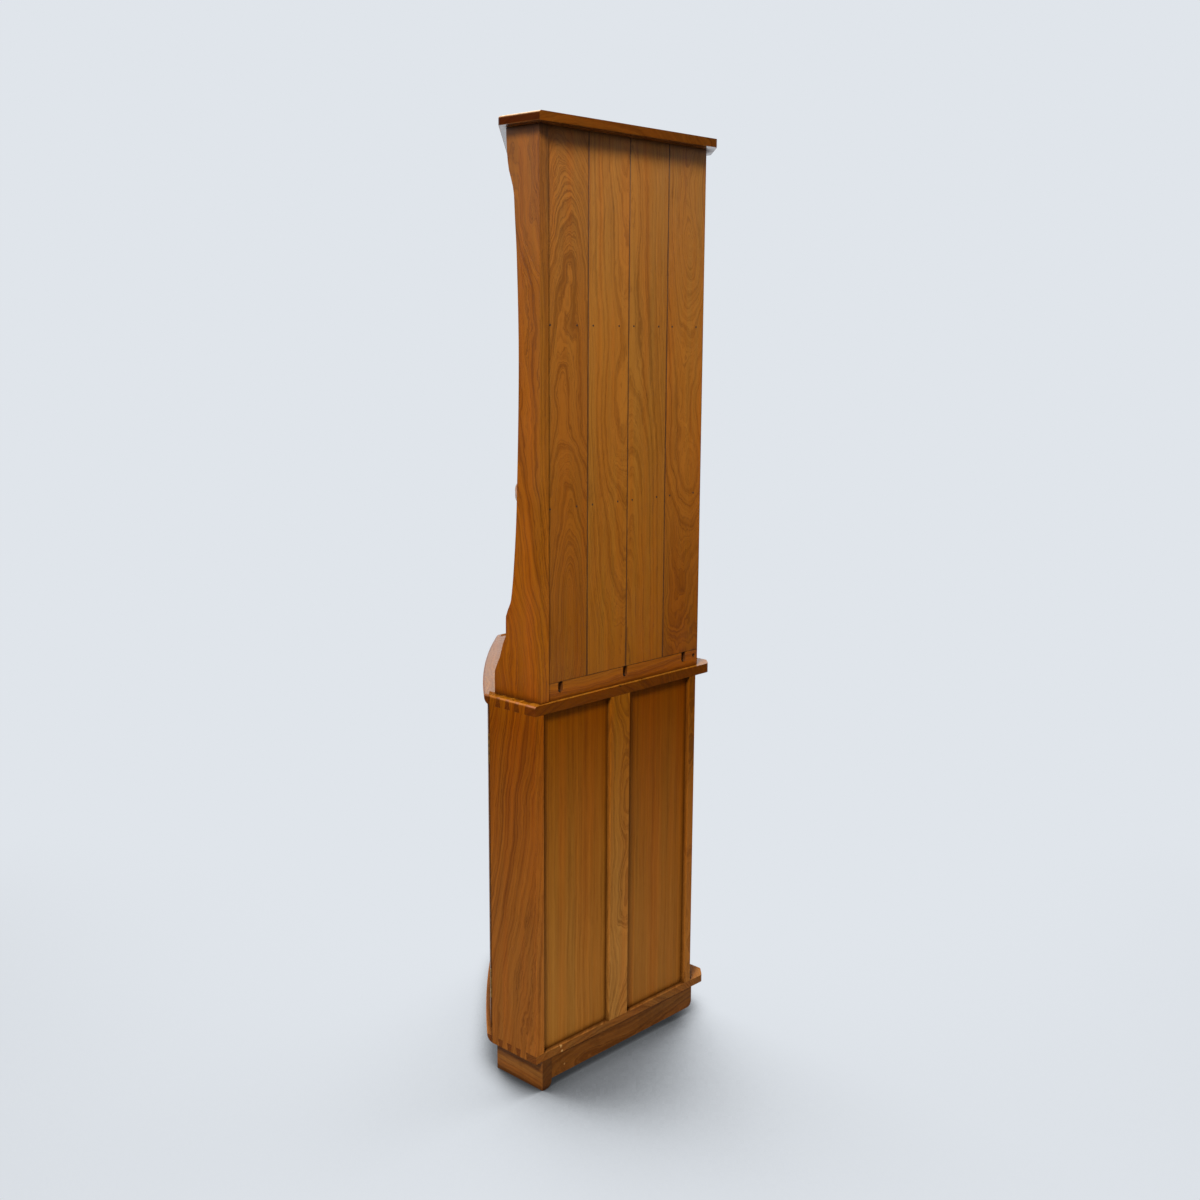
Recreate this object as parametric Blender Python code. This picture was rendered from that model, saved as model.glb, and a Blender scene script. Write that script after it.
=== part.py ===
"""Bow-front corner cabinet in elm: an open shelved upper part standing on a cupboard base.

Plan layout: the cabinet fits a square room corner. u is the distance out from the right-hand wall and
v the distance along that wall from the corner; the left-hand half swaps u and v. d is the distance from
the corner straight out into the room. The object's own frame has +X to its right, -Y to its front and
+Z up, with the origin on the floor in the middle of its box.
"""

import bpy
import bmesh
from math import asin, cos, pi, sin, sqrt
from mathutils import Vector

# Driving dimensions, in metres.
HEIGHT = 1.830  # floor to the top of the cornice
BASE_HEIGHT = 0.779  # floor to the upper face of the base top
PLINTH_HEIGHT = 0.0625  # floor to the underside of the bottom board
BASE_RUN = 0.5275  # corner to the outer face of a base return, along the wall
BASE_RETURN = 0.127  # depth of a base return out from the wall
RETURN_T = 0.022  # thickness of all four returns
TOP_T = 0.019  # base top
BOTTOM_T = 0.0155  # bottom board
BOW = 0.0135  # rise of the bow front between the returns
BOARD_OVER = 0.0092  # how far the base boards pass the front of the returns
BOARD_TIP = 0.0165  # corner to the cut tip of the base boards
POST_CUT = 0.0455  # corner to the flat back of the corner post
POST_FACE = 0.0176  # width of the post's strip on each wall side
POST_CHEEK = 0.008  # post behind the panel grooves
PANEL_RECESS = 0.010  # back of the panels behind the back plane
PANEL_T = 0.006
MUNTIN_W = 0.054
MUNTIN_T = 0.020
GROOVE = 0.006  # depth of panel and board grooves
ARRIS = 0.0045  # rounding of the upper edge of the base top and cornice
TOP_NOSE_IN = 0.0090  # undercut of the base top's front edge, inwards
TOP_NOSE_UP = 0.0130  # and upwards
BOTTOM_NOSE_IN = 0.0090  # undercut of the bottom board's front edge, inwards
BOTTOM_NOSE_UP = 0.0118  # and upwards
EASE = 0.0020  # smaller roundings
CORNER_R = 0.0090  # rounded front corners of the boards, in plan
TIP_R = 0.0100  # rounded corners of their cut tips
REAR_PIN = 0.0274  # wide dovetail pin at the wall end of a return
PIN_W = 0.011  # the other dovetail pins
PLINTH_SETBACK = 0.0178  # plinth side behind the return's outer face
PLINTH_SIDE_T = 0.0248
PLINTH_FRONT_T = 0.020
PLINTH_RAIL_T = 0.018
PLINTH_RAIL_LIFT = 0.017  # floor to the underside of the plinth's wall rails
UPPER_SETBACK = 0.0188  # outer face of an upper return behind that of the base return
UPPER_BACK = 0.005  # wall plane to the back edge of an upper return
BOARD_BACK = 0.0078  # wall plane to the back of the upper boards
BOARD_T = 0.009
BOARD_COUNT = 4  # boards on each wall
CORNER_CUT = 0.0414  # corner to the flat back of the upper corner board
RAIL_H = 0.0345  # rail under the upper boards
RAIL_T = 0.020
SLOT_W = 0.0127  # screw slots in that rail
FOOT_DEPTH = 0.1308  # depth of an upper return at its foot
HEAD_DEPTH = 0.0890  # and under the cornice
WAIST_DEPTH = 0.0597  # and at its narrowest
SHELF_T = 0.017
SHELF_UPPER_Z = 1.4724  # middle of the upper shelf
SHELF_LOWER_Z = 1.1417  # middle of the lower shelf
SHELF_UPPER_BOW = 0.0255
SHELF_LOWER_BOW = 0.0300
CORNICE_T = 0.016
CORNICE_SIDE = 0.0283  # how far the cornice passes the outer face of an upper return
CORNICE_BACK = 0.025  # how far the cornice passes the base's back plane
CORNICE_LIP = 0.0128  # and the head of its front edge
CORNICE_TIP = 0.0236  # corner to the cut tip of the cornice
DOOR_T = 0.019
DOOR_SETBACK = 0.0088  # door face behind the edge of the base boards
DOOR_GAP = 0.0014  # between the door's edge and its jamb
DOOR_CLEAR = 0.002  # above and below the door
JAMB_W = 0.0245
HINGE_H = 0.060
HINGE_INSET = 0.095  # door end to the middle of a hinge
LEAF_T = 0.0015
KNUCKLE_R = 0.0025
PIN_R = 0.0011
PIN_HEAD = 0.0013
KNOB_R = 0.0145
KNOB_OUT = 0.0215
KNOB_INSET = 0.036  # door edge to the middle of the knob
KNOB_RISE = 0.380  # door foot to the middle of the knob
KNOB_BORE = 0.0022
KNOB_SCREW_IN = 0.012  # how far the knob's screw goes into it
CUPBOARD_SHELF_Z = 0.405
CUPBOARD_SHELF_T = 0.015
CLEAT_W = 0.018
CLEAT_H = 0.020
SHELF_FRONT_BACK = 0.060  # cupboard shelf behind the front of the returns
PLINTH_FRONT_BACK = 0.0097  # plinth front behind the front of the returns
PLINTH_FOOT_R = 0.014  # rounded inner foot of a plinth side
PLINTH_RAIL_END = 0.057  # corner to the end of a plinth rail
PLINTH_RAIL_R = 0.012  # rounded lower end of a plinth rail
PLINTH_RAIL_BACK = 0.0015  # wall plane to the back of a plinth rail
REAR_FOOT_D = 0.075  # corner to the rear foot
REAR_FOOT_L = 0.040  # rear foot, square in plan
REAR_FOOT_R = 0.005
KNUCKLE_OUT = 0.0016  # hinge pins in front of the returns' front plane
LEAF_W = 0.018  # hinge leaf, from its edge to the knuckle
LEAF_CLEAR = 0.0004  # between a leaf's plate and the knuckle
CATCH_INSET = 0.062  # door edge to the middle of the catch
CATCH_L = 0.046
CATCH_D = 0.026
CATCH_H = 0.015
CATCH_REACH = 0.0012  # between the catch and the strike
MAGNET_END = 0.011  # end of the catch to its magnet
MAGNET_D = 0.012
MAGNET_OUT = 0.0007  # how far the magnet stands out of its case
STRIKE_T = 0.0012
STRIKE_H = 0.011
STRIKE_END = 0.006  # how far the strike stops short of the catch's ends
STRIKE_FALL = 0.0075  # door head to the middle of the strike
SCREW_BACK = 0.005  # back of the upper boards to the pocket screws
SCREW_BORE = 0.0023
SCREW_HEAD_R = 0.0031
SCREW_DEEP = 0.013  # how far the pocket screws go into the base top
SLOT_FALL = 0.0215  # top of the rail to the foot of a slot
SLOT_DEEP = 0.0086  # less than the boards' thickness, so that they close it above
FIXING_R = 0.0031  # wall-fixing hole in the back of the rail
FIXING_DEEP = 0.010
FIXING_RISE = 0.0226
FIXING_IN = 0.0121
TONGUE_T = 0.003
TONGUE_L = 0.004
TONGUE_ROOM = 0.0006  # between a tongue and the foot of its groove
BOARD_EASE = 0.001
SHELF_SHORT = 0.003  # shelf end behind the front of the returns
SHELF_NOTCH = 0.010  # front of a shelf that isn't housed in the returns
BATTEN = 0.018  # cornice battens, square
BATTEN_SHORT = 0.012
PLATE_GROOVE_IN = 0.045  # upper boards to the plate groove in a shelf
PLATE_GROOVE_W = 0.007
PLATE_GROOVE_DEEP = 0.002
GAP = 0.0003  # between pieces that touch
OVER = 0.002  # how far a cutting shape passes the face that it cuts

# Derived sizes.
R2 = sqrt(2.0)
D_RETURN = (BASE_RUN + BASE_RETURN) / R2  # front plane of the base returns
X_RETURN = (BASE_RUN - BASE_RETURN) / R2
D_BOW = D_RETURN + BOARD_OVER + BOW  # foremost line of the base boards
BOW_R = (X_RETURN**2 + BOW**2) / (2 * BOW)
D_CENTRE = D_BOW - BOW_R  # centre of the bow's circle
Z_BOTTOM = PLINTH_HEIGHT + BOTTOM_T  # upper face of the bottom board
Z_UNDER_TOP = BASE_HEIGHT - TOP_T
Z_UNDER_CORNICE = HEIGHT - CORNICE_T
INNER = BASE_RUN - RETURN_T  # inner face of a base return
UPPER_RUN = BASE_RUN - UPPER_SETBACK  # outer face of an upper return
UPPER_INNER = UPPER_RUN - RETURN_T
CORNICE_RUN = UPPER_RUN + CORNICE_SIDE
CORNICE_FRONT = (UPPER_RUN + HEAD_DEPTH) / R2 + CORNICE_LIP
BOARD_FRONT = BOARD_BACK + BOARD_T
X_JAMB = INNER * R2 - D_RETURN
X_DOOR = X_JAMB - DOOR_GAP
DOOR_R = BOW_R - DOOR_SETBACK
X_KNOB = -(X_DOOR - KNOB_INSET)
KNOB_TILT = asin(X_KNOB / DOOR_R)
D_KNOB = D_CENTRE + DOOR_R * cos(KNOB_TILT)
D_REACH = D_KNOB + KNOB_OUT * cos(KNOB_TILT) + KNOB_R * 0.30 * abs(sin(KNOB_TILT))
Y_REF = (BOARD_TIP + max(D_BOW, D_REACH)) / 2
DOOR_Z0 = Z_BOTTOM + DOOR_CLEAR
DOOR_Z1 = Z_UNDER_TOP - DOOR_CLEAR
X_AXIS = X_JAMB - DOOR_GAP / 2
D_AXIS = D_RETURN + KNUCKLE_OUT
HINGE_Z = (DOOR_Z0 + HINGE_INSET, DOOR_Z1 - HINGE_INSET)
SHELVES = ((SHELF_UPPER_Z, SHELF_UPPER_BOW), (SHELF_LOWER_Z, SHELF_LOWER_BOW))

ELM = ((0.250, 0.108, 0.028), 0.42, 0.0)
ELM_DARK = ((0.190, 0.075, 0.018), 0.45, 0.0)
PLY = ((0.230, 0.098, 0.026), 0.50, 0.0)
SOFTWOOD = ((0.330, 0.190, 0.085), 0.65, 0.0)
BRASS = ((0.620, 0.420, 0.140), 0.32, 1.0)
STEEL = ((0.300, 0.290, 0.280), 0.40, 1.0)
PLASTIC = ((0.060, 0.042, 0.030), 0.45, 0.0)


def uv(u, v):
    return Vector(((v - u) / R2, Y_REF - (u + v) / R2))


def xd(x, d):
    return Vector((x, Y_REF - d))


def mirrored(points):
    return [Vector((-p.x, p.y)) for p in points]


def at(points, z):
    return [Vector((p.x, p.y, z)) for p in points]


def bow(x, radius):
    """Point of a circle about the bow's centre."""
    return xd(x, D_CENTRE + sqrt(radius**2 - x**2))


class Shape:
    """Closed shells gathered into one mesh."""

    def __init__(self):
        self.verts = []
        self.faces = []

    def loft(self, rings):
        n = len(rings[0])
        start = len(self.verts)
        for ring in rings:
            self.verts.extend(ring)
        for k in range(len(rings) - 1):
            a = start + k * n
            b = a + n
            for i in range(n):
                j = (i + 1) % n
                self.faces.append((a + i, a + j, b + j, b + i))
        last = start + (len(rings) - 1) * n
        self.faces.append(tuple(range(start + n - 1, start - 1, -1)))
        self.faces.append(tuple(range(last, last + n)))
        return self

    def prism(self, points, z0, z1):
        return self.loft([at(points, z0), at(points, z1)])

    def box_uv(self, u0, u1, v0, v1, z0, z1, left=False):
        points = [uv(u0, v0), uv(u1, v0), uv(u1, v1), uv(u0, v1)]
        return self.prism(mirrored(points) if left else points, z0, z1)

    def side_prism(self, outline, v0, v1, left=False, shift=None):
        """An outline of (u, z) drawn out along v; shift(u, z) moves the points of the v0 end along u."""
        rings = []
        for v in (v0, v1):
            ring = []
            for u, z in outline:
                du = shift(u, z) if shift and v == v0 else 0.0
                p = uv(u + du, v)
                ring.append(Vector((-p.x if left else p.x, p.y, z)))
            rings.append(ring)
        return self.loft(rings)

    def back_prism(self, outline, u0, u1, left=False):
        """An outline of (v, z) drawn out along u."""
        rings = []
        for u in (u0, u1):
            ring = []
            for v, z in outline:
                p = uv(u, v)
                ring.append(Vector((-p.x if left else p.x, p.y, z)))
            rings.append(ring)
        return self.loft(rings)

    def turned(self, origin, axis, profile, sides):
        """A profile of (distance along the axis, radius) turned about the axis."""
        axis = axis.normalized()
        one = axis.orthogonal().normalized()
        two = axis.cross(one)
        rings = []
        for s, r in profile:
            ring = []
            for k in range(sides):
                t = 2 * pi * k / sides
                ring.append(origin + axis * s + (one * cos(t) + two * sin(t)) * r)
            rings.append(ring)
        return self.loft(rings)

    def tube(self, centre, z0, z1, outer, inner, sides):
        """An upright tube, open at both ends."""
        start = len(self.verts)
        for z in (z0, z1):
            for r in (outer, inner):
                for k in range(sides):
                    t = 2 * pi * k / sides
                    self.verts.append(Vector((centre.x + r * cos(t), centre.y + r * sin(t), z)))
        n = sides
        for i in range(n):
            j = (i + 1) % n
            ob, ib, ot, it = start, start + n, start + 2 * n, start + 3 * n
            self.faces.append((ob + i, ob + j, ot + j, ot + i))
            self.faces.append((ib + j, ib + i, it + i, it + j))
            self.faces.append((ot + i, ot + j, it + j, it + i))
            self.faces.append((ob + j, ob + i, ib + i, ib + j))
        return self


def new_object(name, shape):
    mesh = bpy.data.meshes.new(name)
    bm = bmesh.new()
    verts = [bm.verts.new(p) for p in shape.verts]
    for face in shape.faces:
        bm.faces.new([verts[i] for i in face])
    bmesh.ops.recalc_face_normals(bm, faces=bm.faces)
    bm.to_mesh(mesh)
    bm.free()
    obj = bpy.data.objects.new(name, mesh)
    bpy.context.scene.collection.objects.link(obj)
    return obj


def combine(obj, shape, operation):
    """Cuts the shape from the object, or joins it on."""
    cutter = new_object("cutter", shape)
    modifier = obj.modifiers.new("combine", "BOOLEAN")
    modifier.operation = operation
    modifier.solver = "EXACT"
    modifier.object = cutter
    bpy.context.view_layer.update()
    graph = bpy.context.evaluated_depsgraph_get()
    mesh = bpy.data.meshes.new_from_object(obj.evaluated_get(graph))
    obj.modifiers.clear()
    old = obj.data
    obj.data = mesh
    mesh.name = obj.name
    bpy.data.meshes.remove(old)
    cutter_mesh = cutter.data
    bpy.data.objects.remove(cutter)
    bpy.data.meshes.remove(cutter_mesh)


def finish(obj, look, parent, smooth=False):
    """Gives a piece its material and hangs it on its parent."""
    colour, roughness, metallic = look
    material = bpy.data.materials.new(obj.name)
    material.use_nodes = True
    shader = material.node_tree.nodes["Principled BSDF"]
    shader.inputs["Base Color"].default_value = (*colour, 1.0)
    shader.inputs["Roughness"].default_value = roughness
    shader.inputs["Metallic"].default_value = metallic
    material.diffuse_color = (*colour, 1.0)
    obj.data.materials.clear()
    obj.data.materials.append(material)
    if smooth:
        obj.data.shade_smooth()
        obj.data.set_sharp_from_angle(angle=0.6)
    obj.parent = parent
    obj.matrix_parent_inverse = parent.matrix_world.inverted()
    return obj


def empty(name, place, parent=None):
    obj = bpy.data.objects.new(name, None)
    bpy.context.scene.collection.objects.link(obj)
    obj.location = place
    obj.parent = parent
    bpy.context.view_layer.update()
    return obj


def rounded(points, radii, steps=4):
    """Rounds chosen corners of a plan outline; radii maps an index to its radius."""
    out = []
    n = len(points)
    for i, p in enumerate(points):
        r = radii.get(i, 0.0)
        if r <= 0:
            out.append(p)
            continue
        a = (points[i - 1] - p).normalized()
        b = (points[(i + 1) % n] - p).normalized()
        half = a.angle(b) / 2
        centre = p + (a + b).normalized() * (r / sin(half))
        start = p + a * (r / (sin(half) / cos(half)))
        end = p + b * (r / (sin(half) / cos(half)))
        one = (start - centre).normalized()
        two = (end - centre).normalized()
        sweep = one.angle(two)
        side = (two - one * cos(sweep)) / sin(sweep)
        for k in range(steps + 1):
            t = sweep * k / steps
            out.append(centre + (one * cos(t) + side * sin(t)) * r)
    return out


def inset(points, moves, amount):
    """Moves the edges for which moves(edge middle) holds inwards; the others stay."""
    n = len(points)
    centre = sum(points, Vector((0, 0))) / n
    normals = []
    weights = []
    for i in range(n):
        a = points[i]
        b = points[(i + 1) % n]
        edge = (b - a).normalized()
        normal = Vector((-edge.y, edge.x))
        if normal.dot(centre - (a + b) / 2) < 0:
            normal = -normal
        normals.append(normal)
        weights.append(amount if moves((a + b) / 2) else 0.0)
    out = []
    for i in range(n):
        n1, w1 = normals[i - 1], weights[i - 1]
        n2, w2 = normals[i], weights[i]
        det = n1.x * n2.y - n1.y * n2.x
        if abs(det) < 0.02:
            step = (n1 + n2).normalized() * max(w1, w2)
        else:
            step = Vector(((w1 * n2.y - w2 * n1.y) / det, (n1.x * w2 - n2.x * w1) / det))
        out.append(points[i] + step)
    return out


def rounded_board(points, radii, top_edges, under_edges, z0, z1, top, nose_in, nose_up):
    """A board rounded over along its top edges and undercut along its under edges."""
    rings = []
    steps = 4
    for k in range(steps + 1):
        t = pi / 2 * k / steps
        ring = rounded(inset(points, under_edges, nose_in * (1 - sin(t))), radii)
        rings.append(at(ring, z0 + nose_up * (1 - cos(t))))
    for k in range(steps + 1):
        t = pi / 2 * k / steps
        ring = rounded(inset(points, top_edges, top * (1 - cos(t))), radii)
        rings.append(at(ring, z1 - top + top * sin(t)))
    return Shape().loft(rings)


def depth_of(p):
    return Y_REF - p.y


def wall_gap(p):
    """Distance of a plan point from the nearer wall plane."""
    return (depth_of(p) - abs(p.x)) / R2


def base_board_outline():
    m = BASE_RUN * R2 - D_CENTRE
    x_end = (m - sqrt(2 * BOW_R**2 - m**2)) / 2
    if abs(x_end) > BASE_RUN:
        x_end = (m + sqrt(2 * BOW_R**2 - m**2)) / 2
    count = 24
    front = [bow(x_end - 2 * x_end * k / count, BOW_R) for k in range(count + 1)]
    points = [xd(BOARD_TIP, BOARD_TIP), uv(0, BASE_RUN)] + front
    points += [xd(-BASE_RUN / R2, BASE_RUN / R2), xd(-BOARD_TIP, BOARD_TIP)]
    last = len(points) - 1
    return points, {0: TIP_R, 2: CORNER_R, last - 2: CORNER_R, last: TIP_R}


def pin_edges(thickness):
    """Dovetail pins of a board: (low u, high u) at its wide face and at its narrow face."""
    flare = thickness / 12
    pitch = (BASE_RETURN - REAR_PIN) * 0.261
    pins = [((-0.01, REAR_PIN + flare), (-0.01, REAR_PIN - flare))]
    for k in range(3):
        c = REAR_PIN + pitch * (0.87 + k)
        h = PIN_W / 2
        pins.append(((c - h - flare, c + h + flare), (c - h + flare, c + h - flare)))
    return pins


def return_end(thickness, z_wide, z_narrow, inward):
    """Edge of a base return along one dovetailed end, from the wall to the front."""
    pins = pin_edges(thickness)
    z_floor = z_wide - GAP * inward
    points = [(0.0, z_floor), (pins[0][0][1] + GAP, z_floor), (pins[0][1][1] + GAP, z_narrow)]
    for wide, narrow in pins[1:]:
        points.append((narrow[0] - GAP, z_narrow))
        points.append((wide[0] - GAP, z_floor))
        points.append((wide[1] + GAP, z_floor))
        points.append((narrow[1] + GAP, z_narrow))
    points.append((BASE_RETURN, z_narrow))
    return points


def front_u(v, clear=0.0):
    """u of the bevelled front plane of a base return."""
    return BASE_RETURN + BASE_RUN - v + clear * R2


def sockets(thickness, z_wide, z_narrow, left):
    """The spaces that the return's tails take out of a dovetailed board."""
    pins = pin_edges(thickness)
    out = Shape()
    grow = OVER * (1 if z_narrow > z_wide else -1)
    slope = (pins[0][0][1] - pins[0][1][1]) / thickness
    extra = slope * abs(grow)
    v0 = INNER - GAP
    v1 = BASE_RUN + 2 * OVER
    for k in range(len(pins)):
        low_wide = pins[k][0][1] + extra
        low_narrow = pins[k][1][1] - extra
        za = z_wide - grow
        zb = z_narrow + grow
        rings = []
        for v in (v0, v1):
            if k + 1 < len(pins):
                high_wide = pins[k + 1][0][0] - extra
                high_narrow = pins[k + 1][1][0] + extra
            else:
                high_wide = high_narrow = front_u(v, GAP)
            ring = []
            for u, z in ((low_wide, za), (high_wide, za), (high_narrow, zb), (low_narrow, zb)):
                p = uv(u, v)
                ring.append(Vector((-p.x if left else p.x, p.y, z)))
            rings.append(ring)
        out.loft(rings)
    return out


def make_base(carcase):
    outline, radii = base_board_outline()
    on_front = lambda p: depth_of(p) > D_RETURN + BOARD_OVER / 2
    on_edge = lambda p: wall_gap(p) > GAP and (depth_of(p) > BOARD_TIP * 2 or abs(p.x) > BOARD_TIP * 2)
    top_shape = rounded_board(
        outline, radii, on_edge, on_front, Z_UNDER_TOP, BASE_HEIGHT, ARRIS, TOP_NOSE_IN, TOP_NOSE_UP
    )
    top = new_object("base_top", top_shape)
    bottom_shape = rounded_board(
        outline, radii, on_front, on_front, PLINTH_HEIGHT, Z_BOTTOM, EASE, BOTTOM_NOSE_IN, BOTTOM_NOSE_UP
    )
    bottom = new_object("base_bottom", bottom_shape)
    for left in (False, True):
        combine(top, sockets(TOP_T, Z_UNDER_TOP, BASE_HEIGHT, left), "DIFFERENCE")
        combine(bottom, sockets(BOTTOM_T, Z_BOTTOM, PLINTH_HEIGHT, left), "DIFFERENCE")
    holes = Shape()
    for left in (False, True):
        for v in slot_places():
            p = uv(BOARD_BACK + SCREW_BACK, v)
            origin = Vector((-p.x if left else p.x, p.y, BASE_HEIGHT + OVER))
            bore = OVER + SCREW_DEEP + 4 * GAP
            holes.turned(origin, Vector((0, 0, -1)), [(0, SCREW_BORE), (bore, SCREW_BORE)], 8)
    combine(top, holes, "DIFFERENCE")
    finish(top, ELM, carcase)
    finish(bottom, ELM_DARK, carcase)

    end = return_end(TOP_T, Z_UNDER_TOP, BASE_HEIGHT, 1)
    foot = return_end(BOTTOM_T, Z_BOTTOM, PLINTH_HEIGHT, -1)
    side = end + foot[::-1]
    for left in (False, True):
        name = "base_side_left" if left else "base_side_right"
        bevel = lambda u, z: RETURN_T if abs(u - BASE_RETURN) < 1e-9 else 0.0
        obj = new_object(name, Shape().side_prism(side, INNER, BASE_RUN, left, bevel))
        arc = [(BASE_RUN - ARRIS * (1 - sin(t)), BASE_HEIGHT - ARRIS * (1 - cos(t)))
               for t in (pi / 2 * k / 4 for k in range(5))]
        waste = arc + [(BASE_RUN + OVER, arc[-1][1]), (BASE_RUN + OVER, BASE_HEIGHT + OVER)]
        waste.append((arc[0][0], BASE_HEIGHT + OVER))
        combine(obj, Shape().back_prism(waste, -OVER, BASE_RETURN + RETURN_T + OVER, left), "DIFFERENCE")
        groove = Shape().box_uv(
            PANEL_RECESS - GAP,
            PANEL_RECESS + PANEL_T + GAP,
            INNER - OVER,
            INNER + GROOVE,
            PLINTH_HEIGHT - OVER,
            BASE_HEIGHT + OVER,
            left,
        )
        combine(obj, groove, "DIFFERENCE")
        if not left:
            combine(obj, knuckle_room(), "DIFFERENCE")
            combine(obj, leaf_recess(X_JAMB - OVER / 2, X_JAMB + LEAF_T + GAP), "DIFFERENCE")
        finish(obj, ELM, carcase)

    a = POST_CUT * R2
    b = a + POST_FACE
    g0 = PANEL_RECESS - GAP
    g1 = PANEL_RECESS + PANEL_T + GAP
    half = [(0, a), (0, b), (g0, b), (g0, b - GROOVE), (g1, b - GROOVE), (g1, b), (g1 + POST_CHEEK, b)]
    right = [uv(u, v) for u, v in half]
    post = new_object(
        "base_corner_post", Shape().prism(right + mirrored(right)[::-1], Z_BOTTOM + GAP, Z_UNDER_TOP - GAP)
    )
    finish(post, ELM_DARK, carcase)

    middle = (b + INNER) / 2
    m0 = middle - MUNTIN_W / 2
    m1 = middle + MUNTIN_W / 2
    section = [(0, m0), (0, m1), (g0, m1), (g0, m1 - GROOVE), (g1, m1 - GROOVE), (g1, m1), (MUNTIN_T, m1)]
    section += [(MUNTIN_T, m0), (g1, m0), (g1, m0 + GROOVE), (g0, m0 + GROOVE), (g0, m0)]
    hold = GROOVE - GAP
    spans = {"inner": (b - hold, m0 + hold), "outer": (m1 - hold, INNER + hold)}
    for left in (False, True):
        word = "left" if left else "right"
        points = [uv(u, v) for u, v in section]
        points = mirrored(points) if left else points
        obj = new_object("base_muntin_" + word, Shape().prism(points, Z_BOTTOM + GAP, Z_UNDER_TOP - GAP))
        finish(obj, ELM_DARK, carcase)
        for place, (v0, v1) in spans.items():
            shape = Shape().box_uv(
                PANEL_RECESS, PANEL_RECESS + PANEL_T, v0, v1, Z_BOTTOM + GAP, Z_UNDER_TOP - GAP, left
            )
            finish(new_object("base_panel_" + word + "_" + place, shape), PLY, carcase)

        foot_d = (INNER - GAP) * R2 - X_JAMB
        points = [xd(X_JAMB, foot_d), xd(X_JAMB, foot_d - JAMB_W), xd(X_JAMB + JAMB_W, foot_d - JAMB_W)]
        points = mirrored(points) if left else points
        obj = new_object("door_jamb_" + word, Shape().prism(points, Z_BOTTOM + GAP, Z_UNDER_TOP - GAP))
        if not left:
            combine(obj, knuckle_room(), "DIFFERENCE")
            combine(obj, leaf_recess(X_JAMB - OVER / 2, X_JAMB + LEAF_T + GAP), "DIFFERENCE")
        finish(obj, ELM_DARK, carcase)


def make_plinth(carcase):
    z1 = PLINTH_HEIGHT - GAP
    v1 = BASE_RUN - PLINTH_SETBACK
    v0 = v1 - PLINTH_SIDE_T
    d_front = D_RETURN - PLINTH_FRONT_BACK
    u_out = d_front * R2 - v1
    u_in = (d_front - PLINTH_FRONT_T) * R2 - v0
    r = PLINTH_FOOT_R
    corner = [(v0 + r * (1 - sin(t)), r * (1 - cos(t))) for t in (pi / 2 * k / 4 for k in range(5))]
    section = [(v1, z1), (v1, 0.0)] + corner + [(v0, z1)]
    for left in (False, True):
        word = "left" if left else "right"
        rings = []
        for end in (0, 1):
            ring = []
            for v, z in section:
                u = u_in + (u_out - u_in) * (v - v0) / (v1 - v0) if end else 0.0005
                p = uv(u, v)
                ring.append(Vector((-p.x if left else p.x, p.y, z)))
            rings.append(ring)
        finish(new_object("plinth_side_" + word, Shape().loft(rings)), ELM_DARK, carcase)

        end_v = PLINTH_RAIL_END
        r = PLINTH_RAIL_R
        rail = [(v0 - GAP, z1), (v0 - GAP, PLINTH_RAIL_LIFT)]
        rail += [(end_v + r * (1 - sin(t)), PLINTH_RAIL_LIFT + r * (1 - cos(t)))
                 for t in (pi / 2 * k / 4 for k in range(5))]
        rail.append((end_v, z1))
        shape = Shape().back_prism(rail, PLINTH_RAIL_BACK, PLINTH_RAIL_BACK + PLINTH_RAIL_T, left)
        finish(new_object("plinth_rail_" + word, shape), ELM_DARK, carcase)

    a = uv(u_out + GAP * 1.5, v1)
    b = uv(u_in + GAP * 1.5, v0)
    a.y = Y_REF - d_front
    b.y = Y_REF - (d_front - PLINTH_FRONT_T)
    a.x -= GAP
    b.x -= GAP
    points = [a, b] + mirrored([b, a])
    finish(new_object("plinth_front", Shape().prism(points, 0.0, z1)), ELM_DARK, carcase)
    x = REAR_FOOT_L / 2
    d0 = REAR_FOOT_D
    d1 = d0 + REAR_FOOT_L
    foot = rounded([xd(x, d0), xd(x, d1), xd(-x, d1), xd(-x, d0)], {k: REAR_FOOT_R for k in range(4)}, 2)
    finish(new_object("plinth_rear_foot", Shape().prism(foot, 0.0, z1)), SOFTWOOD, carcase)


def make_cupboard_shelf(carcase):
    slack = OVER / 2
    d_front = D_RETURN - SHELF_FRONT_BACK
    back = MUNTIN_T + slack
    edge = INNER - slack
    corner = (POST_CUT * R2 + POST_FACE + PANEL_RECESS + PANEL_T + POST_CHEEK + OVER) / R2 + slack
    half = [uv(back, corner * R2 - back), uv(back, edge), uv(d_front * R2 - edge, edge)]
    points = half + mirrored(half)[::-1]
    shape = Shape().prism(points, CUPBOARD_SHELF_Z, CUPBOARD_SHELF_Z + CUPBOARD_SHELF_T)
    finish(new_object("cupboard_shelf", shape), PLY, carcase)
    for left in (False, True):
        shape = Shape().box_uv(
            MUNTIN_T + GAP,
            MUNTIN_T + GAP + CLEAT_W,
            POST_CUT * R2 + POST_FACE + CLEAT_H,
            INNER - GAP,
            CUPBOARD_SHELF_Z - GAP - CLEAT_H,
            CUPBOARD_SHELF_Z - GAP,
            left,
        )
        name = "cupboard_cleat_left" if left else "cupboard_cleat_right"
        finish(new_object(name, shape), SOFTWOOD, carcase)


def door_slab(x0, x1, count):
    outer = [bow(x0 + (x1 - x0) * k / count, DOOR_R) for k in range(count + 1)]
    inner = [bow(x0 + (x1 - x0) * k / count, DOOR_R - DOOR_T) for k in range(count + 1)]
    return Shape().prism(outer + inner[::-1], DOOR_Z0, DOOR_Z1)


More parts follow.
